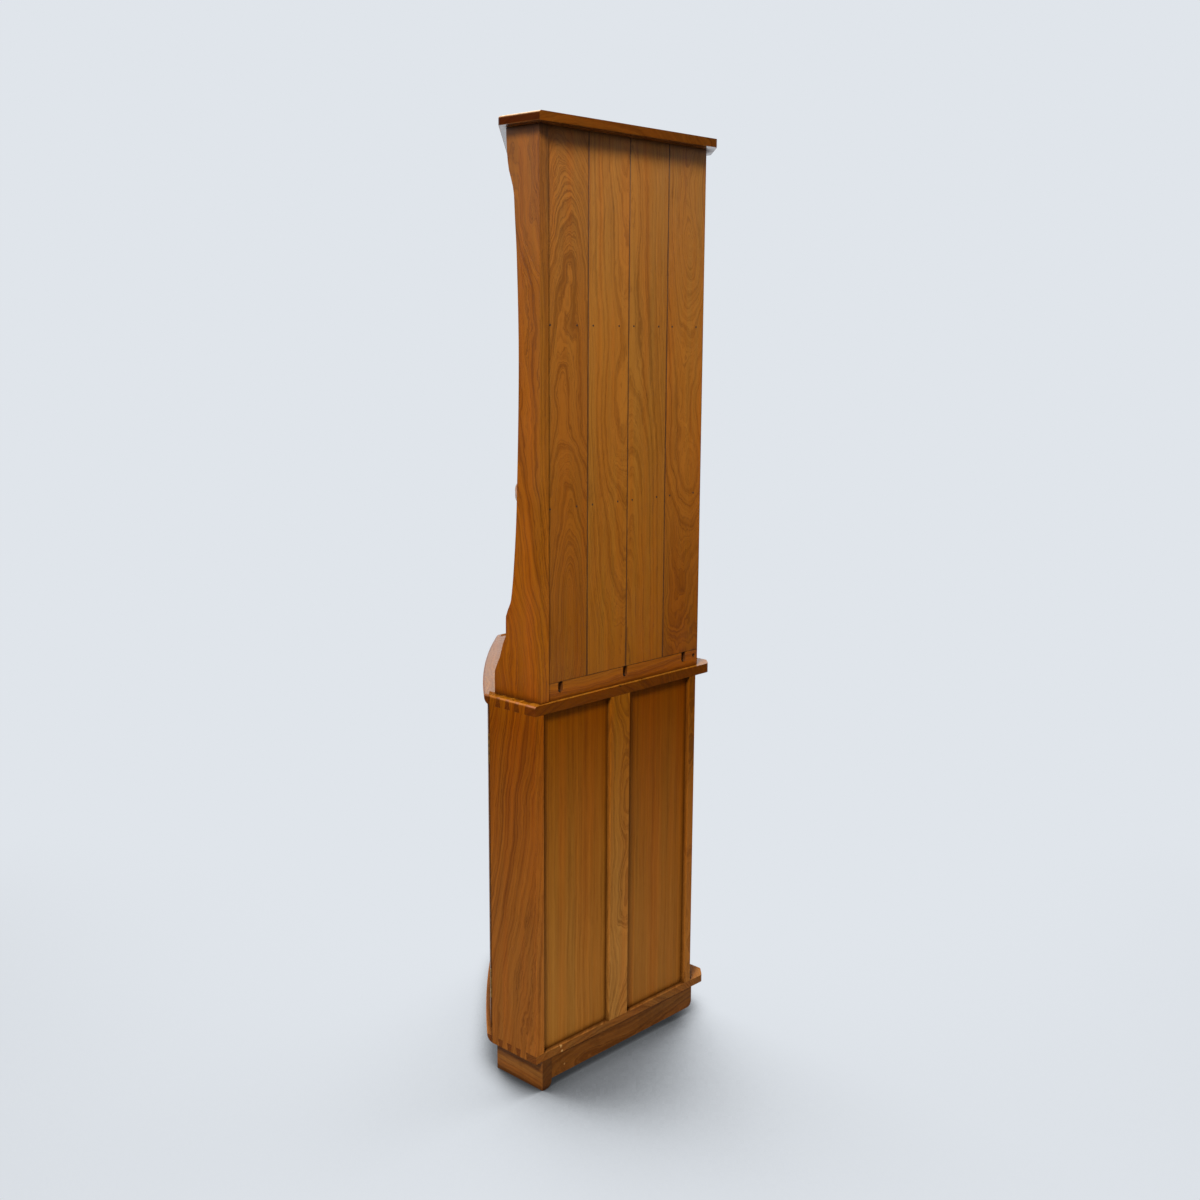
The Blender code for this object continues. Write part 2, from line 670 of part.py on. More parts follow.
def leaf_plan(x0, x1, grow, front=0.0):
    """Plan of a hinge leaf's plate, optionally grown and carried on to the front."""
    d1 = D_AXIS - KNUCKLE_R - LEAF_CLEAR
    d0 = d1 - LEAF_W
    return [xd(x0, d0 - grow), xd(x1, d0 - grow), xd(x1, d1 + grow + front), xd(x0, d1 + grow + front)]


def leaf_recess(x0, x1):
    """Room for the hinge leaves, from x0 to x1."""
    shape = Shape()
    for z in HINGE_Z:
        shape.prism(leaf_plan(x0, x1, GAP, 2 * OVER), z - HINGE_H / 2 - GAP, z + HINGE_H / 2 + GAP)
    return shape


def knuckle_room():
    """Room for the knuckles and the ends of the hinge pins."""
    shape = Shape()
    p = xd(X_AXIS, D_AXIS)
    radius = KNUCKLE_R + 0.0005
    for z in HINGE_Z:
        low = z - HINGE_H / 2 - PIN_HEAD - GAP
        length = HINGE_H + 2 * (PIN_HEAD + GAP)
        shape.turned(Vector((p.x, p.y, low)), Vector((0, 0, 1)), [(0, radius), (length, radius)], 16)
    return shape


def hinge_leaf(name, z, side, parent):
    x_face = X_JAMB if side > 0 else X_DOOR
    x_back = x_face + side * LEAF_T
    axis = xd(X_AXIS, D_AXIS)
    obj = new_object(name, Shape().prism(leaf_plan(x_face, x_back, 0.0), z - HINGE_H / 2, z + HINGE_H / 2))
    cut = HINGE_H / 6
    if side > 0:
        ranges = [(-HINGE_H / 2, -cut - GAP / 2), (cut + GAP / 2, HINGE_H / 2)]
    else:
        ranges = [(-cut + GAP / 2, cut - GAP / 2)]
    for z0, z1 in ranges:
        d0 = D_AXIS - KNUCKLE_R - OVER / 2
        d1 = D_AXIS - PIN_R - LEAF_CLEAR
        neck = [xd(x_face, d0), xd(x_back, d0), xd(x_back, d1), xd(x_face, d1)]
        combine(obj, Shape().prism(neck, z + z0, z + z1), "UNION")
        combine(obj, Shape().tube(axis, z + z0, z + z1, KNUCKLE_R, PIN_R + GAP, 16), "UNION")
    finish(obj, BRASS, parent, True)


def make_hinges(carcase, door):
    axis = xd(X_AXIS, D_AXIS)
    for word, z in zip(("lower", "upper"), HINGE_Z):
        hinge_leaf("hinge_" + word + "_frame_leaf", z, 1, carcase)
        hinge_leaf("hinge_" + word + "_door_leaf", z, -1, door)
        h = HINGE_H / 2
        profile = [(-h - PIN_HEAD, PIN_R * 0.9), (-h - PIN_HEAD / 2, PIN_R * 1.9), (-h - GAP, PIN_R * 1.9)]
        profile += [(-h - GAP + 0.00001, PIN_R), (h, PIN_R), (h + PIN_HEAD / 2, PIN_R * 0.6)]
        shape = Shape().turned(Vector((axis.x, axis.y, z)), Vector((0, 0, -1)), profile, 12)
        finish(new_object("hinge_" + word + "_pin", shape), BRASS, carcase, True)


def make_door(door):
    panel = new_object("door_panel", door_slab(-X_DOOR, X_DOOR, 20))
    out = Vector((sin(KNOB_TILT), -cos(KNOB_TILT), 0))
    face = bow(X_KNOB, DOOR_R)
    face = Vector((face.x, face.y, DOOR_Z0 + KNOB_RISE))
    hole = Shape().turned(face + out * OVER, -out, [(0, KNOB_BORE), (DOOR_T + 2 * OVER, KNOB_BORE)], 10)
    combine(panel, hole, "DIFFERENCE")
    combine(panel, knuckle_room(), "DIFFERENCE")
    combine(panel, leaf_recess(X_DOOR - LEAF_T - GAP, X_DOOR + OVER / 2), "DIFFERENCE")
    finish(panel, ELM, door)

    r = KNOB_R
    turned = [(GAP, r * 0.62), (0.003, r * 0.58), (0.007, r * 0.46), (0.010, r * 0.52), (0.0135, r * 0.86)]
    turned += [(0.0165, r), (0.0190, r * 0.93), (0.0206, r * 0.66), (KNOB_OUT, r * 0.30)]
    knob = new_object("door_knob", Shape().turned(face, out, turned, 24))
    deep = OVER + KNOB_SCREW_IN + 4 * GAP
    bore = Shape().turned(face - out * OVER, out, [(0, KNOB_BORE - GAP), (deep, KNOB_BORE - GAP)], 10)
    combine(knob, bore, "DIFFERENCE")
    finish(knob, ELM_DARK, door, True)
    back = face - out * (DOOR_T + GAP)
    profile = [(-0.0024, 0.0022), (-0.0018, 0.0038), (0.0, 0.0040), (0.00001, 0.0016)]
    profile.append((DOOR_T + KNOB_SCREW_IN, 0.0014))
    finish(new_object("door_knob_screw", Shape().turned(back, out, profile, 10)), STEEL, door, True)

    inner = DOOR_R - DOOR_T - GAP
    x0, x1 = catch_span()
    x0 += STRIKE_END
    x1 -= STRIKE_END
    outer_arc = [bow(x0 + (x1 - x0) * k / 3, inner) for k in range(4)]
    inner_arc = [bow(x0 + (x1 - x0) * k / 3, inner - STRIKE_T) for k in range(4)]
    z = DOOR_Z1 - STRIKE_FALL
    shape = Shape().prism(outer_arc + inner_arc[::-1], z - STRIKE_H / 2, z + STRIKE_H / 2)
    finish(new_object("catch_strike", shape), STEEL, door)


def catch_span():
    middle = -(X_DOOR - CATCH_INSET)
    return middle - CATCH_L / 2, middle + CATCH_L / 2


def make_catch(carcase):
    x0, x1 = catch_span()
    front = DOOR_R - DOOR_T - GAP - STRIKE_T - CATCH_REACH
    z1 = Z_UNDER_TOP - GAP
    z0 = z1 - CATCH_H
    outer = [bow(x0, front), bow(x1, front)]
    inner = [bow(x1, front - CATCH_D), bow(x0, front - CATCH_D)]
    case = new_object("catch_case", Shape().prism(outer + inner, z0, z1))
    a = x0 + MAGNET_END
    b = x1 - MAGNET_END
    m0 = z0 + OVER
    m1 = z1 - 1.5 * OVER
    back = front - MAGNET_D - OVER / 4
    pocket = [bow(a, front + OVER), bow(b, front + OVER), bow(b, back), bow(a, back)]
    combine(case, Shape().prism(pocket, m0, m1), "DIFFERENCE")
    finish(case, PLASTIC, carcase)
    a += GAP
    b -= GAP
    face = front + MAGNET_OUT
    back = front - MAGNET_D
    shape = Shape().prism([bow(a, face), bow(b, face), bow(b, back), bow(a, back)], m0 + GAP, m1 - GAP)
    finish(new_object("catch_magnet", shape), STEEL, carcase)


def profile_depth(z):
    """Depth of an upper return at a height, from a smooth curve through its shoulders and hollows."""
    rise = Z_UNDER_CORNICE - BASE_HEIGHT
    foot = FOOT_DEPTH - WAIST_DEPTH
    head = HEAD_DEPTH - WAIST_DEPTH
    knots = [(0.000, foot), (0.038, foot), (0.072, foot * 0.785), (0.099, foot * 0.655), (0.113, foot * 0.55)]
    knots += [(0.124, foot * 0.505), (0.149, foot * 0.462), (0.166, foot * 0.400), (0.182, foot * 0.338)]
    knots += [(0.238, foot * 0.23), (0.350, foot * 0.107), (0.629, 0.0), (0.787, head * 0.13)]
    knots += [(0.856, head * 0.28), (0.888, head * 0.345), (0.905, head * 0.46), (0.918, head * 0.625)]
    knots += [(0.930, head * 0.775), (0.957, head * 0.93), (1.000, head)]
    t = min(max((z - BASE_HEIGHT) / rise, 0.0), 1.0)
    steps = [(b[1] - a[1]) / (b[0] - a[0]) for a, b in zip(knots, knots[1:])]
    slopes = [0.0]
    for k in range(1, len(steps)):
        same = steps[k - 1] * steps[k] > 0
        slopes.append(2 * steps[k - 1] * steps[k] / (steps[k - 1] + steps[k]) if same else 0.0)
    slopes.append(0.0)
    k = max(i for i in range(len(steps)) if knots[i][0] <= t)
    (t0, a), (t1, b) = knots[k], knots[k + 1]
    w = t1 - t0
    s = (t - t0) / w
    value = a * (1 + 2 * s) * (1 - s) ** 2 + slopes[k] * w * s * (1 - s) ** 2
    value += b * s * s * (3 - 2 * s) + slopes[k + 1] * w * s * s * (s - 1)
    return WAIST_DEPTH + value


def shelf_end(z):
    """Depth at which a shelf meets the inner face of the returns."""
    return profile_depth(z) - SHELF_SHORT


def corner_v():
    """v at which the upper boards' backs meet the flat corner board."""
    return CORNER_CUT * R2 - BOARD_BACK


def mitre_v(u):
    inner = (CORNER_CUT + BOARD_T) * R2 - BOARD_FRONT
    return corner_v() + (inner - corner_v()) * (u - BOARD_BACK) / BOARD_T


def slot_places():
    low = corner_v()
    return UPPER_INNER - 0.0332, (UPPER_INNER + low) / 2 + 0.0045, low + 0.0443


def wall_holes(radius, start, length, lines, places, left, sides=6):
    shape = Shape()
    sign = -1 if left else 1
    axis = Vector((-sign, -1, 0)).normalized()
    for z in lines:
        for v in places:
            p = uv(start, v)
            origin = Vector((sign * p.x, p.y, z))
            shape.turned(origin, axis, [(0, radius), (length, radius)], sides)
    return shape


def make_upper(carcase):
    z0 = BASE_HEIGHT + GAP
    z1 = Z_UNDER_CORNICE - GAP
    rail_top = BASE_HEIGHT + RAIL_H
    lines = [z for z, _ in SHELVES]
    count = 72
    heights = [z0 + (z1 - z0) * k / count for k in range(count + 1)]
    outline = [(UPPER_BACK, z1), (UPPER_BACK, z0)] + [(profile_depth(z), z) for z in heights]
    for left in (False, True):
        word = "left" if left else "right"
        obj = new_object("upper_side_" + word, Shape().side_prism(outline, UPPER_INNER, UPPER_RUN, left))
        rooms = Shape().box_uv(
            BOARD_BACK - GAP, BOARD_FRONT + GAP, UPPER_INNER - OVER, UPPER_INNER + GROOVE,
            rail_top, z1 + OVER, left,
        )
        combine(obj, rooms, "DIFFERENCE")
        housings = Shape()
        for z in lines:
            stop = shelf_end(z) - SHELF_NOTCH + OVER / 4
            housings.box_uv(
                BOARD_FRONT, stop, UPPER_INNER - OVER, UPPER_INNER + GROOVE,
                z - SHELF_T / 2 - GAP, z + SHELF_T / 2 + GAP, left,
            )
        combine(obj, housings, "DIFFERENCE")
        finish(obj, ELM, carcase)

        u0 = BOARD_BACK
        u1 = BOARD_BACK + RAIL_T
        rail = [uv(u0, UPPER_INNER - GAP), uv(u1, UPPER_INNER - GAP)]
        rail += [uv(u1, mitre_v(u1) + GAP), uv(u0, mitre_v(u0) + GAP)]
        rail = mirrored(rail) if left else rail
        obj = new_object("upper_rail_" + word, Shape().prism(rail, z0, rail_top - GAP))
        slots = Shape()
        r = SLOT_W / 2
        low = rail_top - SLOT_FALL
        for v in slot_places():
            slot = [(v - r, rail_top + OVER)]
            slot += [(v - r * cos(t), low + r - r * sin(t)) for t in (pi * k / 8 for k in range(9))]
            slot.append((v + r, rail_top + OVER))
            slots.back_prism(slot, BOARD_BACK - OVER, BOARD_BACK + SLOT_DEEP, left)
        combine(obj, slots, "DIFFERENCE")
        holes = Shape()
        for v in slot_places():
            p = uv(BOARD_BACK + SCREW_BACK, v)
            origin = Vector((-p.x if left else p.x, p.y, z0 - OVER))
            bore = RAIL_H - SLOT_FALL + 0.75 * SLOT_W - OVER
            holes.turned(origin, Vector((0, 0, 1)), [(0, SCREW_BORE), (bore, SCREW_BORE)], 8)
        combine(obj, holes, "DIFFERENCE")
        rises = [BASE_HEIGHT + FIXING_RISE]
        places = [corner_v() + FIXING_IN]
        fixing = wall_holes(FIXING_R, BOARD_BACK - OVER, OVER + FIXING_DEEP, rises, places, left, 12)
        combine(obj, fixing, "DIFFERENCE")
        finish(obj, ELM_DARK, carcase)

        start = UPPER_INNER + GROOVE - GAP
        width = (start - corner_v()) / BOARD_COUNT
        for k in range(BOARD_COUNT):
            high = start - k * width - (GAP / 2 if k else 0)
            low = start - (k + 1) * width + GAP / 2
            shape = Shape().prism(board_plan(k, high, low, left), rail_top + GAP, z1)
            obj = new_object("upper_board_" + word + "_" + str(k + 1), shape)
            finish(obj, ELM, carcase)

        start = BOARD_FRONT + GAP
        high = UPPER_INNER - GAP
        far = start + BATTEN
        shape = Shape().box_uv(start, far, mitre_v(far) + BATTEN_SHORT, high, z1 - BATTEN, z1, left)
        finish(new_object("cornice_batten_" + word, shape), SOFTWOOD, carcase)

    half = [uv(BOARD_BACK, corner_v() - GAP), uv(BOARD_FRONT, mitre_v(BOARD_FRONT) - GAP)]
    half[0].y = Y_REF - CORNER_CUT
    half[1].y = Y_REF - CORNER_CUT - BOARD_T
    half[0].x = uv(BOARD_BACK, corner_v()).x - GAP
    half[1].x = uv(BOARD_FRONT, mitre_v(BOARD_FRONT)).x - GAP
    shape = Shape().prism(half + mirrored(half)[::-1], z0, z1)
    finish(new_object("upper_corner_board", shape), ELM_DARK, carcase)

    low = rail_top - SLOT_FALL
    for left in (False, True):
        for k, v in enumerate(slot_places()):
            p = uv(BOARD_BACK + SCREW_BACK, v)
            origin = Vector((-p.x if left else p.x, p.y, low + SLOT_W / 3))
            length = origin.z - (BASE_HEIGHT - SCREW_DEEP)
            profile = [(-0.0004, 0.0020), (0.0, SCREW_HEAD_R), (0.0020, SCREW_HEAD_R), (0.0021, 0.0020)]
            profile += [(length - 0.003, 0.0018), (length, 0.0004)]
            name = "pocket_screw_" + ("left_" if left else "right_") + str(k + 1)
            screw = new_object(name, Shape().turned(origin, Vector((0, 0, -1)), profile, 10))
            finish(screw, STEEL, carcase, True)

    groove_u = BOARD_FRONT + PLATE_GROOVE_IN
    groove_v = groove_u + corner_v()
    for word, (z, rise) in zip(("upper", "lower"), SHELVES):
        obj = new_object("shelf_" + word, shelf_shape(z, rise))
        for left in (False, True):
            groove = Shape().box_uv(
                groove_u, groove_u + PLATE_GROOVE_W, groove_v, UPPER_INNER - RETURN_T,
                z + SHELF_T / 2 - PLATE_GROOVE_DEEP, z + SHELF_T / 2 + OVER, left,
            )
            combine(obj, groove, "DIFFERENCE")
        finish(obj, ELM, carcase)

    side = CORNICE_RUN
    back = -CORNICE_BACK
    tip = CORNICE_TIP * R2
    half = [uv(back, tip - back), uv(back, side), uv(CORNICE_FRONT * R2 - side, side)]
    points = half + mirrored(half)[::-1]
    radii = {0: TIP_R, 2: CORNER_R, 3: CORNER_R, 5: TIP_R}
    at_tip = lambda p: abs(p.x) < CORNICE_TIP + 2 * CORNICE_BACK and depth_of(p) < CORNICE_TIP * 2
    on_edge = lambda p: wall_gap(p) > GAP - CORNICE_BACK and not at_tip(p)
    shape = rounded_board(points, radii, on_edge, on_edge, Z_UNDER_CORNICE, HEIGHT, ARRIS, EASE, EASE)
    finish(new_object("cornice", shape), ELM, carcase)


def board_plan(k, high, low, left):
    """Plan of one upper board: tongue on its corner side, groove on the other, eased at the joints."""
    b = BOARD_BACK
    f = BOARD_FRONT
    ease = BOARD_EASE
    t0 = b + (BOARD_T - TONGUE_T) / 2
    t1 = b + (BOARD_T + TONGUE_T) / 2
    if k == 0:
        points = [(b, high), (f, high)]
    else:
        deep = high - TONGUE_L - TONGUE_ROOM
        points = [(b, high - ease), (b + ease, high), (t0 - GAP, high), (t0 - GAP, deep)]
        points += [(t1 + GAP, deep), (t1 + GAP, high), (f, high)]
    if k == BOARD_COUNT - 1:
        points += [(f, mitre_v(f) + GAP), (b, mitre_v(b) + GAP)]
    else:
        end = low - TONGUE_L
        points += [(f, low), (t1, low), (t1, end), (t0, end), (t0, low), (b + ease, low), (b, low + ease)]
    out = [uv(u, v) for u, v in points]
    return mirrored(out) if left else out


def shelf_shape(z, rise):
    back = BOARD_FRONT + GAP
    edge = UPPER_INNER - GAP
    end = shelf_end(z)
    corner = (CORNER_CUT + BOARD_T + GAP) * R2
    half = [uv(back, corner - back), uv(back, UPPER_INNER + GROOVE - GAP)]
    half += [uv(end - SHELF_NOTCH, UPPER_INNER + GROOVE - GAP), uv(end - SHELF_NOTCH, edge)]
    corner_front = uv(end, edge)
    x_end = corner_front.x
    d_end = depth_of(corner_front)
    radius = (x_end**2 + rise**2) / (2 * rise)
    centre = d_end + rise - radius
    steps = 16
    arc = []
    for k in range(steps + 1):
        x = x_end - 2 * x_end * k / steps
        arc.append(xd(x, centre + sqrt(radius**2 - x**2)))
    points = half + arc + mirrored(half)[::-1]
    front = lambda p: depth_of(p) > d_end + GAP and abs(p.x) < x_end
    return rounded_board(points, {}, front, front, z - SHELF_T / 2, z + SHELF_T / 2, EASE, EASE, EASE)


def main():
    for obj in list(bpy.data.objects):
        bpy.data.objects.remove(obj)
    carcase = empty("carcase", (0, 0, 0))
    axis = xd(X_AXIS, D_AXIS)
    door = empty("door_axis", (axis.x, axis.y, 0), carcase)
    make_base(carcase)
    make_plinth(carcase)
    make_cupboard_shelf(carcase)
    make_door(door)
    make_hinges(carcase, door)
    make_catch(carcase)
    make_upper(carcase)
    bpy.context.view_layer.update()


main()
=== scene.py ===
"""Bow-front corner cabinet in waxed elm, seen from its right-hand wall side on a pale studio floor."""

import math

import bmesh
import bpy
from mathutils import Matrix, Vector
from mathutils.bvhtree import BVHTree


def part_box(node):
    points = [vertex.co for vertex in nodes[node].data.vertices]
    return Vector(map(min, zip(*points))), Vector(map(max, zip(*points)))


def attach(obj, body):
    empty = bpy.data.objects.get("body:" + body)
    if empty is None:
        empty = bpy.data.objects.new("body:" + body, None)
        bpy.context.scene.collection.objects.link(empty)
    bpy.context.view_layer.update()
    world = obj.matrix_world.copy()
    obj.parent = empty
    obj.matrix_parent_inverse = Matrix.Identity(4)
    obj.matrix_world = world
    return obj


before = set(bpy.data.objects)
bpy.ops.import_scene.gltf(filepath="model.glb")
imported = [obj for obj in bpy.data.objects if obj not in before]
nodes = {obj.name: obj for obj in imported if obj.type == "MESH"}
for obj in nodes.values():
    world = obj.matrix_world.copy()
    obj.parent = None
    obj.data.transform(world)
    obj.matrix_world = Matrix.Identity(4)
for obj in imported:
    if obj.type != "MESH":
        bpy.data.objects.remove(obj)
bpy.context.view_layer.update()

# Sizes of the cabinet that its fittings and its dirt follow, in metres.
R2 = math.sqrt(2.0)
HEIGHT = 1.83
Y_REF = 0.253593  # where the two wall planes of the base meet
BOARD_BACK = 0.0078  # from a wall plane in to the upper boards
BOARD_T = 0.009
RAIL_TOP = 0.8135
JOINT_GAP = 0.0003  # left between two pieces that touch
X_JAMB = 0.25208
X_DOOR = 0.25068
D_LEAF = 0.4525  # from the corner to the middle of a hinge leaf
FACE_TOL = 0.0005  # points this near to a face belong to it
HINGE_Z = (0.175, 0.663)

# Nails of the upper boards: heights of the rows, and for each of a board's two nails its place along the wall
# in the first board and the step to the next board.
NAIL_ROWS = (1.4724, 1.1417)
NAIL_COLUMNS = ((0.4805, 0.1115), (0.4115, 0.1128))
BOARD_COUNT = 4
NAIL_SINK = 0.00005
# Heads of nails and screws: the profile as shares of radius and rise from the rim in, where on it the slot
# starts, and half the slot's width and its floor as shares of the same. Then each kind's radius and rise.
HEAD_SIDES = 20
HEAD_PROFILE = ((1.0, 0.0), (1.0, 0.45), (0.93, 0.80), (0.72, 0.97), (0.34, 1.0))
HEAD_TOP = 0.9
SLOT_HALF = 0.22
SLOT_FLOOR = 0.35
NAIL_HEAD = (0.0019, 0.0003)
HINGE_HEAD = (0.0030, 0.0003)
CATCH_HEAD = (0.0031, 0.0012)
STRIKE_HEAD = (0.0018, 0.0004)
HINGE_SCREW_RISES = (-0.018, 0.018)
CATCH_SCREW_IN = 0.0055
CATCH_SCREW_BACK = 0.002
STRIKE_SCREW_IN = 0.003
RAY_START = 0.1
# Turn of a slot for each metre across the cabinet, so that two slots don't line up.
CATCH_SPIN = 30
STRIKE_SPIN = 40

# Lines of glue: how far they stay behind the boards' faces and how much that varies, how far they stop from
# the joint's ends and start from the corner's, and their counts of steps. Then the two sides of the corner's
# line, its far side below the rail's top with the step between the two, and half the rail line's thickness.
GLUE_EBB = (0.0006, 0.0004)
GLUE_STOP = 0.0005
GLUE_START = 0.0045
FOOT_STEPS = 4
HEAD_STEPS = 56
RAIL_STEPS = 40
CORNER_GLUE = (-0.00031, 0.00016)
CORNER_GLUE_AT_RAIL = 0.00030
RAIL_STEP = 0.0004
RAIL_GLUE = 0.00028

# Directions: the frame's own, and for each wall the one along it from the corner and the one out of it.
X = Vector((1, 0, 0))
Y = Vector((0, 1, 0))
Z = Vector((0, 0, 1))
ALONG = {"right": Vector((1, -1, 0)) / R2, "left": Vector((-1, -1, 0)) / R2}
OUT = {"right": Vector((1, 1, 0)) / R2, "left": Vector((-1, 1, 0)) / R2}


def linear(r, g, b):
    """A colour written as 0 to 255 screen values, as the linear values that shaders use."""
    return tuple(((c / 255 + 0.055) / 1.055) ** 2.4 if c > 10 else c / 255 / 12.92 for c in (r, g, b))


def wall_point(u, v, z, side="right"):
    """A point u in from a wall plane of the base, v along it from the corner and z high."""
    x = (v - u) / R2
    return Vector((x if side == "right" else -x, Y_REF - (u + v) / R2, z))


class Graph:
    """A shader node tree with short ways to add nodes and join them."""

    def __init__(self, tree):
        self.tree = tree

    def feed(self, socket, value):
        if isinstance(value, bpy.types.NodeSocket):
            self.tree.links.new(value, socket)
        else:
            socket.default_value = value

    def put(self, kind, values=None, **settings):
        node = self.tree.nodes.new(kind)
        for key, value in settings.items():
            setattr(node, key, value)
        for key, value in (values or {}).items():
            self.feed(node.inputs[key], value)
        return node

    def maths(self, operation, *values):
        return self.put("ShaderNodeMath", dict(enumerate(values)), operation=operation).outputs[0]

    def vector(self, operation, *values):
        node = self.put("ShaderNodeVectorMath", dict(enumerate(values)), operation=operation)
        return node.outputs["Value" if operation in ("LENGTH", "DOT_PRODUCT") else "Vector"]

    def noise(self, place, stretch, detail, rough, colour=False):
        where = self.vector("MULTIPLY", place, stretch)
        values = {"Vector": where, "Scale": 1.0, "Detail": detail, "Roughness": rough}
        return self.put("ShaderNodeTexNoise", values).outputs[1 if colour else 0]

    def noise_1d(self, w, scale, detail, rough):
        values = {"W": w, "Scale": scale, "Detail": detail, "Roughness": rough}
        return self.put("ShaderNodeTexNoise", values, noise_dimensions="1D").outputs[0]

    def ramp(self, value, stops):
        node = self.put("ShaderNodeValToRGB", {0: value})
        ramp = node.color_ramp
        while len(ramp.elements) < len(stops):
            ramp.elements.new(0.5)
        for element, (position, colour) in zip(ramp.elements, stops):
            element.position = position
            element.color = (*colour, 1.0)
        return node.outputs[0]

    def span(self, value, low, high, to_low=0.0, to_high=1.0, smooth=False):
        """The value moved from one range to another, and held at its ends."""
        kind = "SMOOTHSTEP" if smooth else "LINEAR"
        values = {0: value, 1: low, 2: high, 3: to_low, 4: to_high}
        return self.put("ShaderNodeMapRange", values, interpolation_type=kind).outputs[0]

    def mix(self, fac, a, b, blend="MIX"):
        node = self.put("ShaderNodeMix", data_type="RGBA", blend_type=blend)
        for index, value in ((0, fac), (6, a), (7, b)):
            self.feed(node.inputs[index], (*value, 1.0) if isinstance(value, tuple) else value)
        return node.outputs[2]

    def up(self, vector):
        return self.put("ShaderNodeSeparateXYZ", {0: vector}).outputs[2]

    def hollow(self, distance, samples, normal=None):
        """How open the space round a point is: 1 in the open and less in a corner."""
        values = {"Distance": distance} if normal is None else {"Distance": distance, "Normal": normal}
        return self.put("ShaderNodeAmbientOcclusion", values, samples=samples).outputs["AO"]

    def rounded(self, rise, start, end):
        """1 on faces whose slope is between level and upright, from the two pairs of limits of its rise."""
        above = self.span(rise, *start, 0.0, 1.0, True)
        below = self.span(rise, *end, 1.0, 0.0, True)
        return self.maths("MULTIPLY", above, below)

    def seen(self):
        """1 where the camera looks, itself or in a reflection or through glass, and 0 for cast light."""
        path = self.put("ShaderNodeLightPath").outputs
        other = self.maths("MAXIMUM", path["Is Glossy Ray"], path["Is Transmission Ray"])
        return self.maths("MAXIMUM", path["Is Camera Ray"], other)

    def surface(self, shader, kind="ShaderNodeOutputMaterial"):
        self.feed(self.put(kind).inputs["Surface"], shader.outputs[0])


def grey(value):
    return (value, value, value)


def blank(data):
    """The graph of a new material or world, with its nodes taken away."""
    data.use_nodes = True
    data.node_tree.nodes.clear()
    return Graph(data.node_tree)


def make_grain():
    """Growth rings, streaks and pores of a trunk that stands along z at the origin, as a tone from 0 to 1."""
    group = bpy.data.node_groups.new("grain", "ShaderNodeTree")
    face = group.interface
    face.new_socket("Place", in_out="INPUT", socket_type="NodeSocketVector")
    for name in ("Ring", "Wave", "Figure", "Lines"):
        face.new_socket(name, in_out="INPUT", socket_type="NodeSocketFloat")
    for name in ("Tone", "Pores", "Cloud"):
        face.new_socket(name, in_out="OUTPUT", socket_type="NodeSocketFloat")
    g = Graph(group)
    given = g.put("NodeGroupInput").outputs
    place = given["Place"]

    wave = g.put("ShaderNodeCombineXYZ", {i: given["Wave"] for i in range(3)}).outputs[0]
    slow = g.vector("SUBTRACT", g.noise(place, (5.0, 5.0, 2.6), 1.0, 0.45, True), grey(0.5))
    swirl = g.vector("SUBTRACT", g.noise(place, (15, 15, 7.5), 2.0, 0.5, True), grey(0.5))
    jitter = g.vector("SUBTRACT", g.noise(place, (90, 90, 50.0), 2.0, 0.6, True), grey(0.5))
    bent = g.vector("ADD", place, g.vector("MULTIPLY", slow, g.vector("MULTIPLY", wave, (0.35, 1.0, 0.0))))
    bent = g.vector("ADD", bent, g.vector("MULTIPLY", swirl, g.vector("MULTIPLY", wave, (0.22, 0.22, 0.0))))
    bent = g.vector("ADD", bent, g.vector("MULTIPLY", jitter, grey(0.0030)))
    radius = g.vector("LENGTH", g.vector("MULTIPLY", bent, (1, 1, 0)))
    turns = g.maths("DIVIDE", radius, given["Ring"])
    bands = g.span(g.noise_1d(turns, 0.60, 4.0, 0.68), 0.32, 0.68)
    saw = g.maths("FRACT", g.maths("MULTIPLY_ADD", bands, 1.6, turns))
    stops = [(0.0, grey(0.35)), (0.08, grey(0.0)), (0.20, grey(0.15)), (0.45, grey(0.85)), (0.80, grey(1.0)),
             (1.0, grey(0.55))]
    late = g.ramp(saw, stops)
    streak = g.noise(bent, (110, 110, 2.2), 3.0, 0.6)
    fine = g.noise(bent, (300, 300, 5.0), 3.0, 0.65)
    cloud = g.noise(place, (11, 11, 2.6), 3.0, 0.55)
    lines = g.maths("MULTIPLY", g.maths("SUBTRACT", late, 0.62), given["Lines"])
    rings = g.maths("MULTIPLY_ADD", g.maths("SUBTRACT", bands, 0.5), 0.42, lines)
    rings = g.maths("MULTIPLY", rings, given["Figure"])
    tone = g.maths("MULTIPLY_ADD", streak, 0.52, rings)
    tone = g.maths("MULTIPLY_ADD", fine, 0.50, tone)
    tone = g.maths("MULTIPLY_ADD", cloud, 0.50, tone)
    tone = g.span(tone, 0.38, 1.10)
    dash = g.noise(bent, (800, 800, 17.0), 1.0, 0.5)
    pores = g.maths("MULTIPLY", g.span(dash, 0.55, 0.68), g.span(late, 0.8, 0.0, 0.2, 1.0))
    out = g.put("NodeGroupOutput")
    for name, socket in (("Tone", tone), ("Pores", pores), ("Cloud", cloud)):
        g.feed(out.inputs[name], socket)
    return group


GRAIN = make_grain()
SEED_STEP = 1.7  # metres along the trunk from one piece's cut to the next
MARK_TEAR = 0.003  # how ragged the rim of a chip or stain is
CORNER_DIRT_AND_SHADE_REACH = 0.016  # how far from a corner the dirt and painted shade in it reach
GRAIN_RELIEF = 0.00035
SCRATCH_RELIEF = 0.00008
COAT_ROUGH = 0.18


